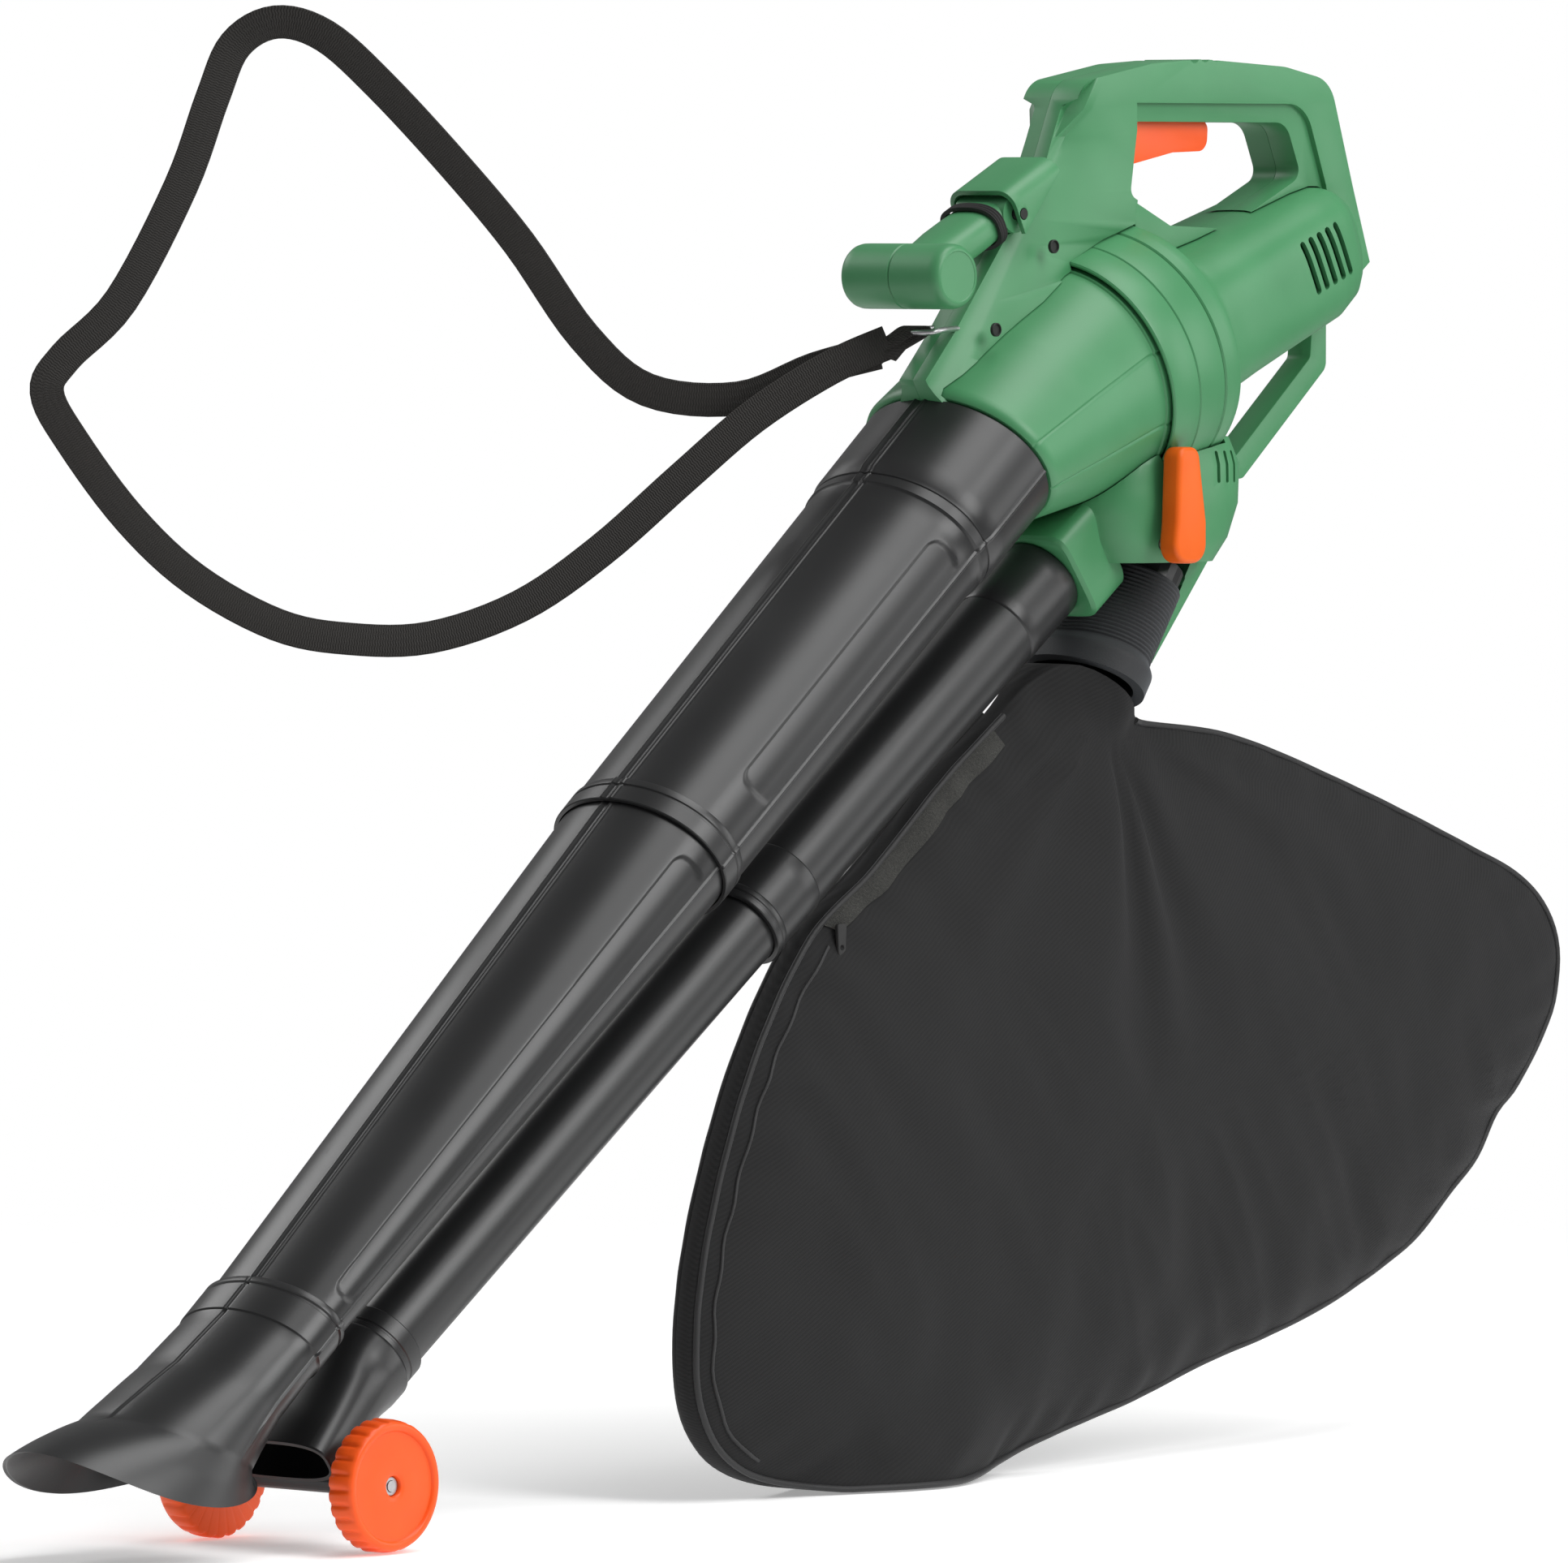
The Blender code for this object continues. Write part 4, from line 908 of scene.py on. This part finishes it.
arm_sections = [(-65.5, 11, 17.4), (-58, 11.1, 18), (-44, 11.6, 19.4), (-30, 11.5, 19.4), (-6, 10.8, 18.7)]
arm_skin = skin([oval(ARM, s, 0, a, b, power=2.6, angles=ROUND) for s, a, b in arm_sections])
arm_mesh = carve(arm_skin, joins=[rod(drawn(*ARM_START), 11, -19, 19, 64)],
                 cuts=[rod(drawn(*ARM_START), PIN_HOLE, -40, 40, 32),
                       rod(drawn(*GRIP_MIDDLE), 19.3, -60, 60, 96)],
                 bevel=0.8, segments=2)
show("grip_arm", arm_mesh, green_shell, body="front_grip", nodes=["front_grip_arm"],
     sharp=45)

BAR_STEPS = ((18.3, 0.15), (19, 0.9), (19, 30), (18.9, 33), (18.3, 35.4), (17.2, 37.1), (15.6, 38),
             (14.8, 38), (14.4, 37.6), (2, 37.6))
for side, sign in (("left", -1), ("right", 1)):
    across = drawn(*GRIP_MIDDLE) @ Matrix.Rotation(math.pi / 2 * sign, 4, "Z")
    rings = [oval(across, along, 0, radius, radius, angles=ROUND) for radius, along in BAR_STEPS]
    show("grip_bar_" + side, skin(rings), green_shell, body="front_grip", nodes=["front_grip_" + side],
         sharp=38)

seal_rings = []
for step in range(25):
    fold = math.cos(math.pi * step / 4) * 0.35
    seal_rings.append(oval(ARM, -20 + step / 4, 0, 13.8 + fold, 22 + fold, power=2.6, angles=ROUND))
seal_rings += [oval(ARM, s, 0, 11.95, 20.1, power=2.6, angles=ROUND) for s in (-14, -20)]
show("grip_arm_seal", skin(seal_rings, closed_length=True), dark_rubber, body="front_grip",
     nodes=["arm_seal"])

hood_section = [(25.4, -11), (25.4, 17, 11), (-25.4, 17, 11), (-25.4, -11), (-22.4, -11), (-22.4, 14, 8.2),
                (22.4, 14, 8.2), (22.4, -11)]
hood_outline = plan_arc(hood_section)
hood_rings = [[ARM @ Vector((along, y, z)) for y, z in hood_outline] for along in (-4, 4, 12, 20, 28, 40)]
column_room = slab(SIDE, [[(112, 640), (137.6, 669.4), (215.5, 764.4), (300, 800), (300, 640), (120, 600)]],
                   -60, 60)
hood_cuts = [column_room, *clearances(), rod(drawn(*ARM_START), PIN_HOLE, -40, 40, 32)]
hood_mesh = carve(skin(hood_rings), cuts=hood_cuts, bevel=1.3)
show("grip_hood", hood_mesh, green_shell, nodes=["grip_socket"], sharp=45)

# Outlet housing -----------------------------------------------------------------------------------
# A green moulding under the fan that turns the air: a square socket takes the blow tube, a slanted mouth
# takes the bag, and a shield hangs down behind it. The bracket behind it joins the rear of the handle.
OUTLET = ((604, 240, 356, 52), (588, 236, 363, 56), (565, 233, 361, 57), (545, 238, 352, 55),
          (531, 246, 340, 51))
SPIGOT = drawn(305, 530, -123.9)
LEVER_PIVOT = (273, 543)


def level_ring(z, front, rear, half, power=3.2):
    """A level section of the outlet between two x positions."""
    ring = []
    for step in range(72):
        turn = 2 * math.pi * step / 72
        x = math.copysign(abs(math.cos(turn)) ** (2 / power), math.cos(turn))
        y = math.copysign(abs(math.sin(turn)) ** (2 / power), math.sin(turn))
        ring.append(SIDE @ Vector(((front + rear) / 2 + (rear - front) / 2 * x, half * y, z)))
    return ring


outlet_rings = []
outlet_keys = [level_ring(*level) for level in OUTLET]
for first, second in zip(outlet_keys, outlet_keys[1:]):
    outlet_rings += between(first, second, 3)
outlet_rings.append(outlet_keys[-1])
socket_block = skin([oval(BLOW, s, 0, a, b, power=6) for s, a, b in ((1, 28, 29), (3, 30, 31), (60, 30, 31))])
shield = slab(SIDE, [[(326, 543), (346, 543), (346.5, 531), (294, 470, 1.5), (289, 474, 1.5), (325, 520)]],
              -25, 25)
CHAMBER = ((601, 246, 350, 46), (565, 240, 354, 51), (546, 246, 343, 49), (520, 262, 326, 42))
chamber = skin([level_ring(*level) for level in CHAMBER])
tube_bore = skin([oval(BLOW, s, 0, 25, 25) for s in (0, 58)])
neck_room = skin([oval(SPIGOT, s, 0, a, b) for s, a, b in ((1, 27.6, 42), (54, 27.6, 42), (54.6, 32.8, 47.8),
                                                           (90, 32.8, 47.8))])
side_slots = [slab(SIDE, [[(318 + 9 * i, 577, 1.2), (321 + 9 * i, 577, 1.2), (321 + 9 * i, 596, 1.2),
                           (318 + 9 * i, 596, 1.2)]], low, high)
              for i in range(3) for low, high in ((-70, -47), (47, 70))]
slot_mesh = bmesh.new()
for side_slot in side_slots:
    slot_mesh.from_mesh(side_slot)
outlet_mesh = carve(skin(outlet_rings), joins=[socket_block, shield],
                    cuts=[*clearances(), chamber, tube_bore, neck_room,
                          rod(drawn(*LEVER_PIVOT), 4.5, -70, 70), sealed(slot_mesh)], bevel=1.4)
show("outlet_shell", outlet_mesh, green_shell, nodes=["outlet_housing"], sharp=45)

bracket_bar = slab(SIDE, [[(462, 685), (474, 680), (474, 643, 8), (397, 578, 6), (364.5, 576), (364.5, 590),
                           (391, 592), (459, 649, 5)]], -9, 9)
show("bracket_bar", carve(bracket_bar, cuts=clearances(), bevel=2.2), green_shell, nodes=["rear_bracket"],
     sharp=45)

# Cable gland, screws and eyelet -------------------------------------------------------------------
# A black rubber gland under the motor for the cord, two dark screw heads on the left of the column and a
# bent steel wire loop that holds the shoulder strap.
gland = MOTOR @ Matrix.Translation((128, 0, -41.6)) @ Matrix.Rotation(math.pi / 2, 4, "Y")
gland_sides = [(4.3, 0), (8.8, 0), (8.8, 4.6), (8.2, 5), (7, 5.6)]
for step in range(5):
    gland_sides += [(6.9 - 0.1 * step, 6 + 2 * step), (6.9 - 0.1 * step, 7.2 + 2 * step),
                    (5.9, 7.4 + 2 * step), (5.9, 7.8 + 2 * step)]
gland_sides += [(6.3, 15.9), (4.3, 15.9)]
show("cord_gland", lathe(gland, gland_sides, 48), dark_rubber, nodes=["cable_gland"])

for name, place, out in (("upper", (206, 716), 24.8), ("lower", (152, 668), 27.4)):
    across = drawn(*place) @ Matrix.Rotation(-math.pi / 2, 4, "Z")
    head = lathe(across, ((0.05, out), (4, out), (4, out + 1.7), (3.7, out + 2), (3.3, out + 2),
                          (2.9, out + 0.9), (0.05, out + 0.9)), 40)
    show("screw_" + name, head, black_and_groove_shade, nodes=["case_screw_" + name])
RING_WIRE = ((146, -8, 669), (136, -10, 668.5), (124, -13, 668), (116, -13, 667), (113, -9, 666.5),
             (113, 0, 666.5), (113, 9, 666.5), (116, 13, 667), (124, 13, 668), (136, 10, 668.5), (146, 8, 669))
ring_line = smooth_route(RING_WIRE, 4)
ring_rings = []
for i, point in enumerate(ring_line):
    heading = (ring_line[min(i + 1, len(ring_line) - 1)] - ring_line[max(i - 1, 0)]).normalized()
    out = heading.cross(Vector((0, 0, 1))).normalized() * 1.7
    up = Vector((0, 0, 1.7))
    ring_rings.append([SIDE @ (point + out * math.cos(math.pi * k / 6) + up * math.sin(math.pi * k / 6))
                       for k in range(12)])
show("strap_ring_wire", skin(ring_rings), bright_steel, nodes=["strap_eyelet"], sharp=60)
dress(black_and_groove_shade, "aux_pin")

# Mode lever ---------------------------------------------------------------------------------------
# The orange lever on the left side that turns the flap between blowing and collecting.
lever_orange = Finish("lever_orange", roughness=0.42)
grain = lever_orange.noise(0.6)
cloud = lever_orange.noise(20)
lever_orange.set(base_color=lever_orange.mix(cloud, (0.74, 0.105, 0.004), (0.84, 0.135, 0.006)))
lever_orange.shader.inputs["Specular IOR Level"].default_value = 0.3
lever_orange.set(roughness=0.38 + grain * 0.12)
lever_orange.bump(grain, 0.03)
pivot_x, pivot_z = LEVER_PIVOT
lever_edge = [(pivot_x - 15, pivot_z - 12, 11), (pivot_x + 15, pivot_z - 12, 11),
              (pivot_x + 15, pivot_z + 12, 9), (pivot_x + 8, pivot_z + 56, 7), (pivot_x - 10, pivot_z + 56, 7),
              (pivot_x - 12, pivot_z + 12, 9)]
lever_body = slab(SIDE, [lever_edge], -74, -60)
lever_notch = rod(drawn(pivot_x - 1, pivot_z + 62), 5.4, -76, -66)
show("mode_lever_grip", carve(lever_body, cuts=[lever_notch], bevel=3), lever_orange, body="mode_lever",
     nodes=["mode_lever"], sharp=50)

# Bag cuff -----------------------------------------------------------------------------------------
# The bag's neck: an elastic cuff of black rubberised cloth, ribbed all round, that stretches over the
# spigot and flares out into the bag.
cuff_cloth = Finish("cuff_cloth", roughness=0.7)
lint = cuff_cloth.noise(1.2, detail=5)
cuff_cloth.set(base_color=cuff_cloth.mix(lint, (0.008, 0.009, 0.010), (0.022, 0.023, 0.026)))
cuff_cloth.set(roughness=0.55 + lint * 0.3)
cuff_cloth.bump(lint, 0.12)
cuff_cloth.sheen(0.25, 0.5, (0.6, 0.65, 0.7))
cuff_outside = []
for step in range(101):
    along = 14 + step * 0.5
    rib = 0.45 * math.cos(2 * math.pi * along / 2.6)
    cuff_outside.append((along, 26.5 + rib, 41 + rib))
for step in range(1, 13):
    t = step / 12
    cuff_outside.append((64 + 20 * t, 27 + 3.8 * ease(t, 0, 0.4), 41.5 + 4.3 * ease(t, 0, 0.4)))
cuff_rings = [oval(SPIGOT, s, 0, a, b, angles=ROUND) for s, a, b in cuff_outside]
cuff_rings += [oval(SPIGOT, s, 0, 24.5, 38.5, angles=ROUND) for s in (84, 49, 14)]
show("bag_cuff_sleeve", skin(cuff_rings, closed_length=True), cuff_cloth, nodes=["bag_cuff"])

# Collection bag -----------------------------------------------------------------------------------
# Black polyester twill, cut as two sides and sewn to a narrow edge strip with piping. It hangs full and soft
# from the cuff and rests on the front of its lower edge. A fuzzy tape with a zip puller at its end covers the
# closure of the upper front edge. The zip under it has no shape of its own.
BAG_OUTLINE = ((232.5, 471.5), (204, 462), (180, 444), (128, 408), (66, 358), (10, 319), (-38, 250),
               (-72, 168), (-86, 100),
               (-80, 48), (-45, 15), (30, 0.5), (110, 0.5), (165, 7), (250, 25), (300, 36), (366, 54),
               (425, 67), (485, 84), (556, 114), (592, 141), (620, 163), (640, 190), (662, 208),
               (694, 252), (697, 296), (668, 329), (609, 354), (494, 395), (386, 427), (281, 441.5))
BAG_MIDDLE = Vector((270, 0, 215))
BAG_HALF = 43
BAG_EDGE = 5
BAG_BASE = (90, 75, 34)
NECK = Vector((257.5, 0, 457.5))
NECK_REACH = 36
NECK_EXTRA = 36
EDGE_POINTS = 300


def even_loop(corners, count):
    """A smooth closed run through the corners, its points evenly spaced."""
    places = [Vector((x, 0, z)) for x, z in corners]
    run = smooth_route(places[-1:] + places + places[:2], 12)[12:-12]
    lengths = [0]
    for a, b in zip(run, run[1:]):
        lengths.append(lengths[-1] + (b - a).length)
    loop = []
    j = 0
    for i in range(count):
        target = lengths[-1] * i / count
        while lengths[j + 1] < target:
            j += 1
        share = (target - lengths[j]) / max(lengths[j + 1] - lengths[j], 0.0001)
        loop.append(run[j].lerp(run[j + 1], share))
    return loop


bag_edge = even_loop(BAG_OUTLINE, EDGE_POINTS)
edge_step = sum((b - a).length for a, b in zip(bag_edge, bag_edge[1:])) / (EDGE_POINTS - 1)


def cloth_folds(flat, share, along, side):
    """Folds that hang from the neck, soft waves over the sides and puckers that run in from the seam."""
    hang = flat - NECK
    reach = hang.length
    turn = math.atan2(hang.x, -hang.z)
    fade = ease(reach, 12, 70) * (1 - ease(reach, 110, 330))
    lift = 3.2 * fade * math.sin(turn * 15 + 1.6 * math.sin(turn * 6 + side) + side)
    spot = Vector((flat.x / 95, side * 3.0, flat.z / 120))
    lift += 5.0 * noise.noise(spot) + 2.2 * noise.noise(spot * 2.3)
    crease = Vector((flat.x / 34 + flat.z / 60, side * 5.0, flat.z / 150))
    lift += 1.3 * (1 - abs(noise.noise(crease)) * 3) * ease(reach, 120, 260)
    rim = ease(share, 0.8, 0.965) * (1 - ease(share, 0.965, 1.0))
    pucker = math.sin(along / 6.3 + 3 * noise.noise(Vector((along / 60, 0, side * 2.0))))
    return lift * (1 - ease(share, 0.86, 0.99)) + 1.1 * rim * pucker


def bag_point(index, share, side):
    """A place on one side of the bag: share runs from 0 in the middle to 1 at the seam."""
    rim = bag_edge[index % EDGE_POINTS]
    flat = BAG_MIDDLE + (rim - BAG_MIDDLE) * share
    low = math.exp(-(((rim.x - BAG_BASE[0]) / BAG_BASE[1]) ** 2)) * (1 - ease(rim.z, 40, 75))
    low *= ease(share, 0.3, 1.0)
    near = (flat - NECK).length / NECK_REACH
    edge = BAG_EDGE + BAG_BASE[2] * low + NECK_EXTRA * math.exp(-(near**2))
    crown = BAG_HALF * max(0.0, 1 - share**2.4) ** 0.62
    half = (edge**4 + (crown + BAG_EDGE * 0.8) ** 4) ** 0.25 - 0.6
    half += cloth_folds(flat, share, index * edge_step, side)
    return Vector((flat.x, side * half, max(flat.z, 0.7)))


bag_twill = Finish("bag_twill", roughness=0.8)
wx, wy, wz = bag_twill.place()
threads = bag_twill.noise(1.1, detail=3, roughness=0.7)
soiling = bag_twill.noise(110, detail=4)
diagonal = ((wx * 0.6 - wz * 0.8 + wy * 0.3) * (2 * math.pi / 2.1) + threads * 1.5).sine() * 0.5 + 0.5
cross = ((wx * 0.8 + wz * 0.6) * (2 * math.pi / 0.9)).sine() * 0.5 + 0.5
weave = diagonal * 0.7 + cross * 0.2 + threads * 0.3
dye = bag_twill.mix(soiling, (0.0075, 0.0075, 0.0077), (0.0125, 0.0125, 0.0128))
bag_twill.set(base_color=bag_twill.mix(weave * 0.55, dye, (0.030, 0.030, 0.0305)))
bag_twill.set(roughness=0.62 + weave * 0.2 + soiling * 0.06)
bag_twill.bump(weave, 0.16)
bag_twill.shader.inputs["Specular IOR Level"].default_value = 0.2
bag_twill.sheen(0.04, 0.4, (0.75, 0.75, 0.78))

shares = [0.03, 0.08, 0.14] + [0.2 + 0.026 * i for i in range(26)]
shares += [0.876, 0.9, 0.92, 0.94, 0.955, 0.968, 0.978, 0.986, 0.992, 0.996, 1.0]
bag_rings = []
for side, order in ((-1, shares), (1, shares[::-1])):
    for share in order:
        bag_rings.append([SIDE @ bag_point(i, share, side) for i in range(EDGE_POINTS)])
bag = show("collection_bag_shell", skin(bag_rings), bag_twill, nodes=["collection_bag"],
           sharp=70)

piping_cloth = Finish("piping_cloth", roughness=0.6)
strands = piping_cloth.noise(0.8, detail=4)
piping_cloth.set(base_color=piping_cloth.mix(strands, (0.006, 0.006, 0.006), (0.020, 0.020, 0.021)))
piping_cloth.set(roughness=0.45 + strands * 0.3)
piping_cloth.bump(strands, 0.15)
piping_cloth.sheen(0.2, 0.4, (0.7, 0.7, 0.72))


def cording(name, path, radius, finish, closed=False):
    """A round cord of cloth along a path in the drawing."""
    rings = []
    for i, point in enumerate(path):
        ahead = path[(i + 1) % len(path)] if closed else path[min(i + 1, len(path) - 1)]
        behind = path[i - 1] if closed or i else path[0]
        along = (ahead - behind).normalized()
        out = along.cross(Vector((0, 1, 0))).normalized()
        third = along.cross(out)
        turns = [math.pi * k / 5 for k in range(10)]
        rings.append([SIDE @ (point + out * radius * math.cos(turn) + third * radius * math.sin(turn))
                      for turn in turns])
    return show(name, skin(rings, closed_length=closed), finish, sharp=60)


NECK_POINTS = 9
for side_name, side in (("left", -1), ("right", 1)):
    rim_path = []
    for i in range(NECK_POINTS, EDGE_POINTS - NECK_POINTS):
        point = bag_point(i, 0.992, side)
        rim_path.append(Vector((point.x, point.y + side * 0.6, max(point.z, 2.4))))
    cording("bag_piping_" + side_name, rim_path, 1.9, piping_cloth)


def inset(index, gap, side, lift=0.0):
    """A place on the bag's side, gap millimetres in from the seam and lift millimetres proud."""
    length = (bag_edge[index % EDGE_POINTS] - BAG_MIDDLE).length
    point = bag_point(index, 1 - gap / length, side)
    return point + Vector((0, side * lift, 0))


def nearest_edge(x, z):
    target = Vector((x, 0, z))
    return min(range(EDGE_POINTS), key=lambda i: (bag_edge[i] - target).length)


seam_start = nearest_edge(10, 318)
seam_end = nearest_edge(-45, 15)
for side_name, side in (("left", -1), ("right", 1)):
    seam_path = [inset(i, 13, side, 0.2) for i in range(seam_start, seam_end + 1)]
    cording("bag_front_seam_" + side_name, seam_path, 1.1, piping_cloth)

tape_fuzz = Finish("tape_fuzz", roughness=0.95)
hooks = tape_fuzz.noise(1.4, detail=6, roughness=0.8)
tape_fuzz.set(base_color=tape_fuzz.mix(hooks.above(0.45, 0.65), (0.008, 0.008, 0.007), (0.036, 0.036, 0.031)))
tape_fuzz.set(roughness=0.8 + hooks * 0.2)
tape_fuzz.bump(hooks, 0.9)
tape_fuzz.sheen(0.25, 0.6, (0.8, 0.8, 0.75))
TAPE_GAPS = (2, 2.5, 5, 7.5, 10, 12.5, 13)
tape_rings = []
for i in range(nearest_edge(182, 424), nearest_edge(24, 326) + 1):
    top = [inset(i, gap, -1, 1.5 if 2 < gap < 13 else 0.3) for gap in TAPE_GAPS]
    under = [inset(i, gap, -1, -0.8) for gap in TAPE_GAPS[::-1]]
    tape_rings.append([SIDE @ point for point in top + under])
show("bag_closure_tape", skin(tape_rings), tape_fuzz, sharp=60)

zip_end = inset(nearest_edge(24, 326), 11, -1)
puller = slab(SIDE, [[(zip_end.x - 4, zip_end.z + 4, 2), (zip_end.x + 4, zip_end.z + 4, 2),
                      (zip_end.x + 3, zip_end.z - 15, 2.5), (zip_end.x - 3, zip_end.z - 15, 2.5)]],
              zip_end.y - 4.4, zip_end.y - 1.8)
puller_hole = rod(drawn(zip_end.x, zip_end.z - 10), 1.5, -80, 80, 20)
show("bag_zip_puller", carve(puller, cuts=[puller_hole], bevel=0.7), dark_rubber, sharp=45)


# Floor --------------------------------------------------------------------------------------------
# A pale studio floor that fades out round the machine.
FLOOR_REACH = 2.6
FLOOR_STEPS = 72
FLOOR_GAP = 0.0006
floor_paint = Finish("floor_paint", roughness=0.9)
fx, fy, _ = floor_paint.place()
away = (fx * fx + fy * fy) * (1 / (1000 * FLOOR_REACH) ** 2)
haze = floor_paint.noise(300)
floor_paint.set(base_color=floor_paint.mix(haze, (0.93, 0.93, 0.93), (0.95, 0.95, 0.95)))
floor_paint.set(alpha=1 - away.above(0.12, 0.8))
floor_paint.shader.inputs["Emission Color"].default_value = (1, 1, 1, 1)
floor_paint.shader.inputs["Emission Strength"].default_value = 0.32
floor_rings = []
for radius in (0.4, 0.8, 1.2, 1.6, 2.0, FLOOR_REACH):
    turns = [2 * math.pi * i / FLOOR_STEPS for i in range(FLOOR_STEPS)]
    floor_rings.append([(radius * math.cos(turn), radius * math.sin(turn), -FLOOR_GAP) for turn in turns])
floor_mesh = skin(floor_rings, caps=False)
floor_cap = bmesh.new()
floor_cap.from_mesh(floor_mesh)
floor_cap.verts.ensure_lookup_table()
floor_cap.faces.new(floor_cap.verts[:FLOOR_STEPS])
floor = bpy.data.objects.new("studio_floor", sealed(floor_cap))
floor.data.materials.append(floor_paint.material)
bpy.context.scene.collection.objects.link(floor)
